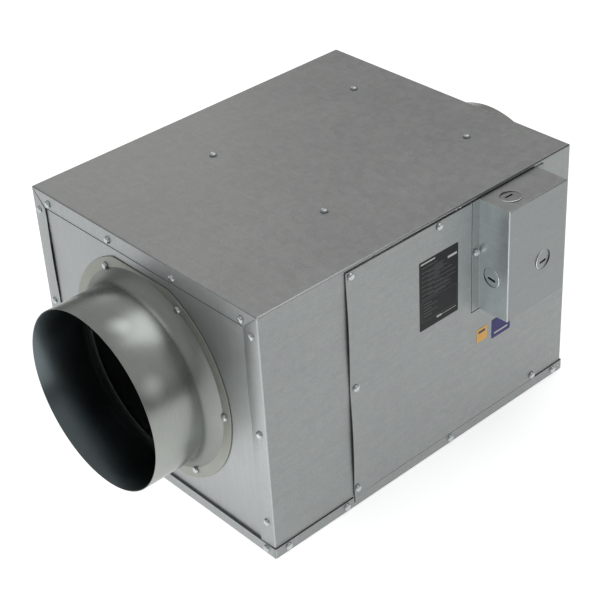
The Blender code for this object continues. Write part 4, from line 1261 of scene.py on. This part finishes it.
def make_inlet_ring():
    """The bellmouth on the bulkhead that leads the air into the impeller's eye."""
    low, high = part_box("inlet_ring")
    front = low.x
    centre = (front + RING_CURVE, RING_RADIUS + RING_CURVE)
    flange_radius = (high.y - low.y) / 2
    wet = arc(centre, RING_CURVE, 180, 270, 24)
    dry = arc(centre, RING_CURVE - SHEET, 270, 180, 24)
    rim = [(front + SHEET, flange_radius), (front, flange_radius)]
    ring = shape("inlet_ring_spun", add_turned, wet + dry + rim, "X", (0, 0, AXIS_Z), WHEEL_SIDES)
    finish_piece(ring, PANEL, "cabinet", ["inlet_ring"])


def shroud_point(degrees, offset=0.0):
    """A point of the impeller's front shroud, from its eye (0 degrees) to its rim (90 degrees)."""
    angle = math.radians(degrees)
    across = WHEEL_RADIUS - WHEEL_EYE_RADIUS
    x = WHEEL_LOW.x + (SHROUD_DEPTH - offset) * math.sin(angle)
    return x, WHEEL_RADIUS - (across - offset) * math.cos(angle)


def add_blades(mesh):
    """Backward-curved blades as plain prisms, longer than the wheel is wide."""
    start = BLADE_ROOT_RADIUS - BLADE_OVERRUN
    reach = WHEEL_RADIUS - BLADE_ROOT_RADIUS + BLADE_OVERRUN
    for i in range(BLADE_COUNT):
        turn = 360 * i / BLADE_COUNT
        outer, inner = [], []
        for step in range(BLADE_STEPS + 1):
            share = step / BLADE_STEPS
            radius = start + reach * share
            angle = math.radians(turn + BLADE_SWEEP * share**1.25)
            half = BLADE_SHEET / 2 / radius
            outer.append((radius * math.cos(angle + half), AXIS_Z + radius * math.sin(angle + half)))
            inner.append((radius * math.cos(angle - half), AXIS_Z + radius * math.sin(angle - half)))
        add_prism(mesh, outer + inner[::-1], "X", WHEEL_LOW.x - BLADE_OVERRUN, WHEEL_HIGH.x - BACK_PLATE / 2)


def add_flow_space(mesh):
    """The space between shroud and back plate that the blades fill."""
    shroud = [shroud_point(degrees, SHROUD_SHEET / 2) for degrees in range(36, 90, 6)]
    beyond = WHEEL_HIGH.x + 2 * BLADE_OVERRUN
    tip = WHEEL_RADIUS - 0.001
    profile = [
        (WHEEL_HIGH.x - BACK_PLATE - BLADE_ROOT_WIDTH, BLADE_ROOT_RADIUS),
        *shroud,
        (shroud[-1][0], tip),
        (beyond, tip),
        (beyond, BLADE_ROOT_RADIUS),
    ]
    add_turned(mesh, profile, "X", (0, 0, AXIS_Z), WHEEL_SIDES)


def add_shroud(mesh):
    wet = [shroud_point(degrees) for degrees in range(0, 91, 6)]
    dry = [shroud_point(degrees, SHROUD_SHEET) for degrees in range(90, -1, -6)]
    add_turned(mesh, wet + dry, "X", (0, 0, AXIS_Z), WHEEL_SIDES)


def add_back_plate(mesh):
    bore = BELL_RADIUS + GAP
    front = WHEEL_HIGH.x - BACK_PLATE
    profile = (
        (front, bore),
        (WHEEL_HIGH.x, bore),
        (WHEEL_HIGH.x, WHEEL_RADIUS - 0.0004),
        (WHEEL_HIGH.x - 0.0004, WHEEL_RADIUS),
        (front + 0.0004, WHEEL_RADIUS),
        (front, WHEEL_RADIUS - 0.0004),
    )
    add_turned(mesh, profile, "X", (0, 0, AXIS_Z), WHEEL_SIDES)


def make_impeller():
    """One moulding: blades between a curved front shroud and a flat back plate."""
    impeller = shape("impeller_moulding", add_blades)
    boolean(impeller, "INTERSECT", add_flow_space)
    join(impeller, add_shroud)
    join(impeller, add_back_plate)
    settle(impeller)
    finish_piece(impeller, NYLON, "rotor", ["impeller"])


def make_rotor_bell():
    """The motor's outer rotor: a deep-drawn cup, open to the rear, and the impeller's flange."""
    front, rear = BELL_LOW.x, BELL_HIGH.x
    inner = BELL_RADIUS - BELL_WALL
    bore = SHAFT_RADIUS + GAP
    flange_x = WHEEL_HIGH.x + GAP
    flange_radius = (BELL_HIGH.y - BELL_LOW.y) / 2
    nose = 0.004
    profile = [
        (front, bore),
        (front + BELL_WALL + 0.001, bore),
        (front + BELL_WALL + 0.001, inner),
        (rear, inner),
        (rear, BELL_RADIUS - 0.0005),
        (rear - 0.0005, BELL_RADIUS),
        (flange_x + BELL_WALL, BELL_RADIUS),
        (flange_x + BELL_WALL, flange_radius - 0.0005),
        (flange_x + BELL_WALL - 0.0005, flange_radius),
        (flange_x, flange_radius),
        (flange_x, BELL_RADIUS),
        *arc((front + nose, BELL_RADIUS - nose), nose, 90, 180, 6),
        (front, 0.030),
        (front + 0.0012, 0.0285),
        (front + 0.0012, 0.016),
        (front, 0.0145),
    ]
    bell = shape("rotor_bell_drawn", add_turned, profile, "X", (0, 0, AXIS_Z), WHEEL_SIDES)
    finish_piece(bell, MOTOR_PAINT, "rotor", ["rotor_bell"])


def smooth_ring(node, name, finish, inner):
    """A plain ring from a packed ring's box along X, with its edges broken."""
    low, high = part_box(node)
    outer = (high.y - low.y) / 2
    chamfer = RING_CHAMFER
    profile = (
        (low.x, inner + chamfer),
        (low.x + chamfer, inner),
        (high.x - chamfer, inner),
        (high.x, inner + chamfer),
        (high.x, outer - chamfer),
        (high.x - chamfer, outer),
        (low.x + chamfer, outer),
        (low.x, outer - chamfer),
    )
    ring = shape(name, add_turned, profile, "X", (0, 0, AXIS_Z), WHEEL_SIDES)
    finish_piece(ring, finish, "cabinet", [node])


# ---- backdraught damper


def make_damper_flap(side, direction):
    """A smooth half-disc skin over a packed flap, whose knuckles are left bare."""
    node = f"damper_flap_{side}"
    low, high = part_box(node)
    pin_low, pin_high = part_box("damper_pin")
    x = (pin_low.x + pin_high.x) / 2
    radius = (high.z - low.z) / 2 - FLAP_MARGIN
    curve = arc((FLAP_CENTRE, AXIS_Z), radius, -FLAP_REACH, FLAP_REACH, 70)
    outline = [(direction * (y + FLAP_SHIFT), z) for y, z in curve]
    skin = shape(f"{node}_skin", add_prism, outline, "X", x - FLAP_SKIN / 2, x + FLAP_SKIN / 2)
    round_edges(skin, FLAP_ROUND)
    settle(skin)
    finish_piece(skin, ALUMINIUM, f"damper_{side}")


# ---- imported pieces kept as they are


def dress(node, finish, width=0.0002):
    """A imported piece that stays, with its finish and a small round on its edges."""
    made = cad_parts[node]
    made.data.materials.clear()
    made.data.materials.append(finish)
    weld = made.modifiers.new("weld", "WELD")
    weld.merge_threshold = 0.00001
    if width:
        round_edges(made, width)


def dress_packed():
    for node in ("bulkhead", "motor_bracket"):
        dress(node, PANEL)
    for node in ("motor_flange", "damper_flap_left", "damper_flap_right"):
        dress(node, ALUMINIUM, 0)
    for node in ("motor_shaft", "damper_pin", "damper_spring", "capacitor_clip"):
        dress(node, STEEL, 0)
    dress("stator_windings", COPPER, 0)
    dress("lead_grommet", RUBBER, 0)
    dress("motor_lead", SHEATH, 0)


# ---- stage


def make_floor():
    """White paper that glows, more strongly in a soft round patch below the inlet end."""
    size = FLOOR_REACH
    outline = ((-size, -size), (size, -size), (size, size), (-size, size))
    mesh = bmesh.new()
    mesh.faces.new([mesh.verts.new((x, y, -FLOOR_DROP)) for x, y in outline])
    floor = link("floor", mesh)
    paper = Finish("floor_paper", (0.93, 0.93, 0.93), 0.9, 0)
    paper.shader.inputs["Emission Color"].default_value = (1, 1, 1, 1)
    glow = paper.spot(GLOW_CENTRE, GLOW_REACH, GLOW_NEAR, GLOW_FAR)
    paper.tree.links.new(glow, paper.shader.inputs["Emission Strength"])
    floor.data.materials.append(paper.material)


def make_world():
    world = bpy.data.worlds.new("studio")
    bpy.context.scene.world = world
    world.use_nodes = True
    tree = world.node_tree
    place = tree.nodes.new("ShaderNodeTexCoord")
    split = tree.nodes.new("ShaderNodeSeparateXYZ")
    ramp = tree.nodes.new("ShaderNodeValToRGB")
    tree.links.new(place.outputs["Generated"], split.inputs[0])
    tree.links.new(split.outputs["Z"], ramp.inputs[0])
    stops = ((0.0, 0.18), (0.22, 0.26), (0.45, 0.60), (0.7, 0.58), (1.0, 0.50))
    while len(ramp.color_ramp.elements) < len(stops):
        ramp.color_ramp.elements.new(0.5)
    for element, (place_up, level) in zip(ramp.color_ramp.elements, stops):
        element.position = place_up
        element.color = (level, level, level, 1)
    tree.links.new(ramp.outputs[0], tree.nodes["Background"].inputs["Color"])
    tree.nodes["Background"].inputs["Strength"].default_value = 1.0


def area_light(name, place, target, size, power, colour):
    data = bpy.data.lights.new(name, "AREA")
    data.shape = "RECTANGLE"
    data.size, data.size_y = size
    data.energy = power
    data.color = colour
    lamp = bpy.data.objects.new(name, data)
    lamp.location = place
    lamp.rotation_euler = (Vector(target) - Vector(place)).to_track_quat("-Z", "Y").to_euler()
    bpy.context.scene.collection.objects.link(lamp)


def make_lights():
    area_light("left_card", (0.34, 0.95, 0.80), (-0.21, 0.17, 0.28), (0.6, 0.6), 0.55, (1.0, 0.99, 0.97))
    area_light("overhead", (0.5, -0.3, 2.4), (0, 0, 0.1), (1.6, 1.6), 12, (0.97, 0.99, 1.0))


def make_camera():
    data = bpy.data.cameras.new("camera")
    data.sensor_width = 36
    data.lens = 93.8
    data.clip_end = 30
    camera = bpy.data.objects.new("camera", data)
    camera.location = (-0.9202, -1.0557, 1.0624)
    camera.rotation_euler = tuple(math.radians(angle) for angle in (56.01, 3.00, -42.66))
    bpy.context.scene.collection.objects.link(camera)
    bpy.context.scene.camera = camera


# ---- the whole scene


def main():
    make_camera()
    make_base_tray()
    make_wrapper()
    for end, side in (("inlet", -1), ("outlet", 1)):
        make_end_panel(end, side)
        make_collar(end, side)
        make_liner(f"{end}_liner")
    make_liner("back_liner")
    make_access_cover()
    make_rating_label()
    make_stickers()
    make_junction_box()
    make_terminal_block()
    make_capacitor()
    make_inlet_ring()
    make_impeller()
    make_rotor_bell()
    smooth_ring("damper_seal", "damper_seal_foam", FOAM, SEAL_RADIUS)
    for node in ("front_bearing", "rear_bearing"):
        smooth_ring(node, f"{node}_ring", STEEL, SHAFT_RADIUS + BEARING_CLEARANCE)
    make_damper_flap("left", -1)
    make_damper_flap("right", 1)
    dress_packed()
    place_packed_screws()
    place_sheet_screws()
    make_floor()
    make_world()
    make_lights()
    bpy.context.scene.view_settings.view_transform = "Standard"


main()
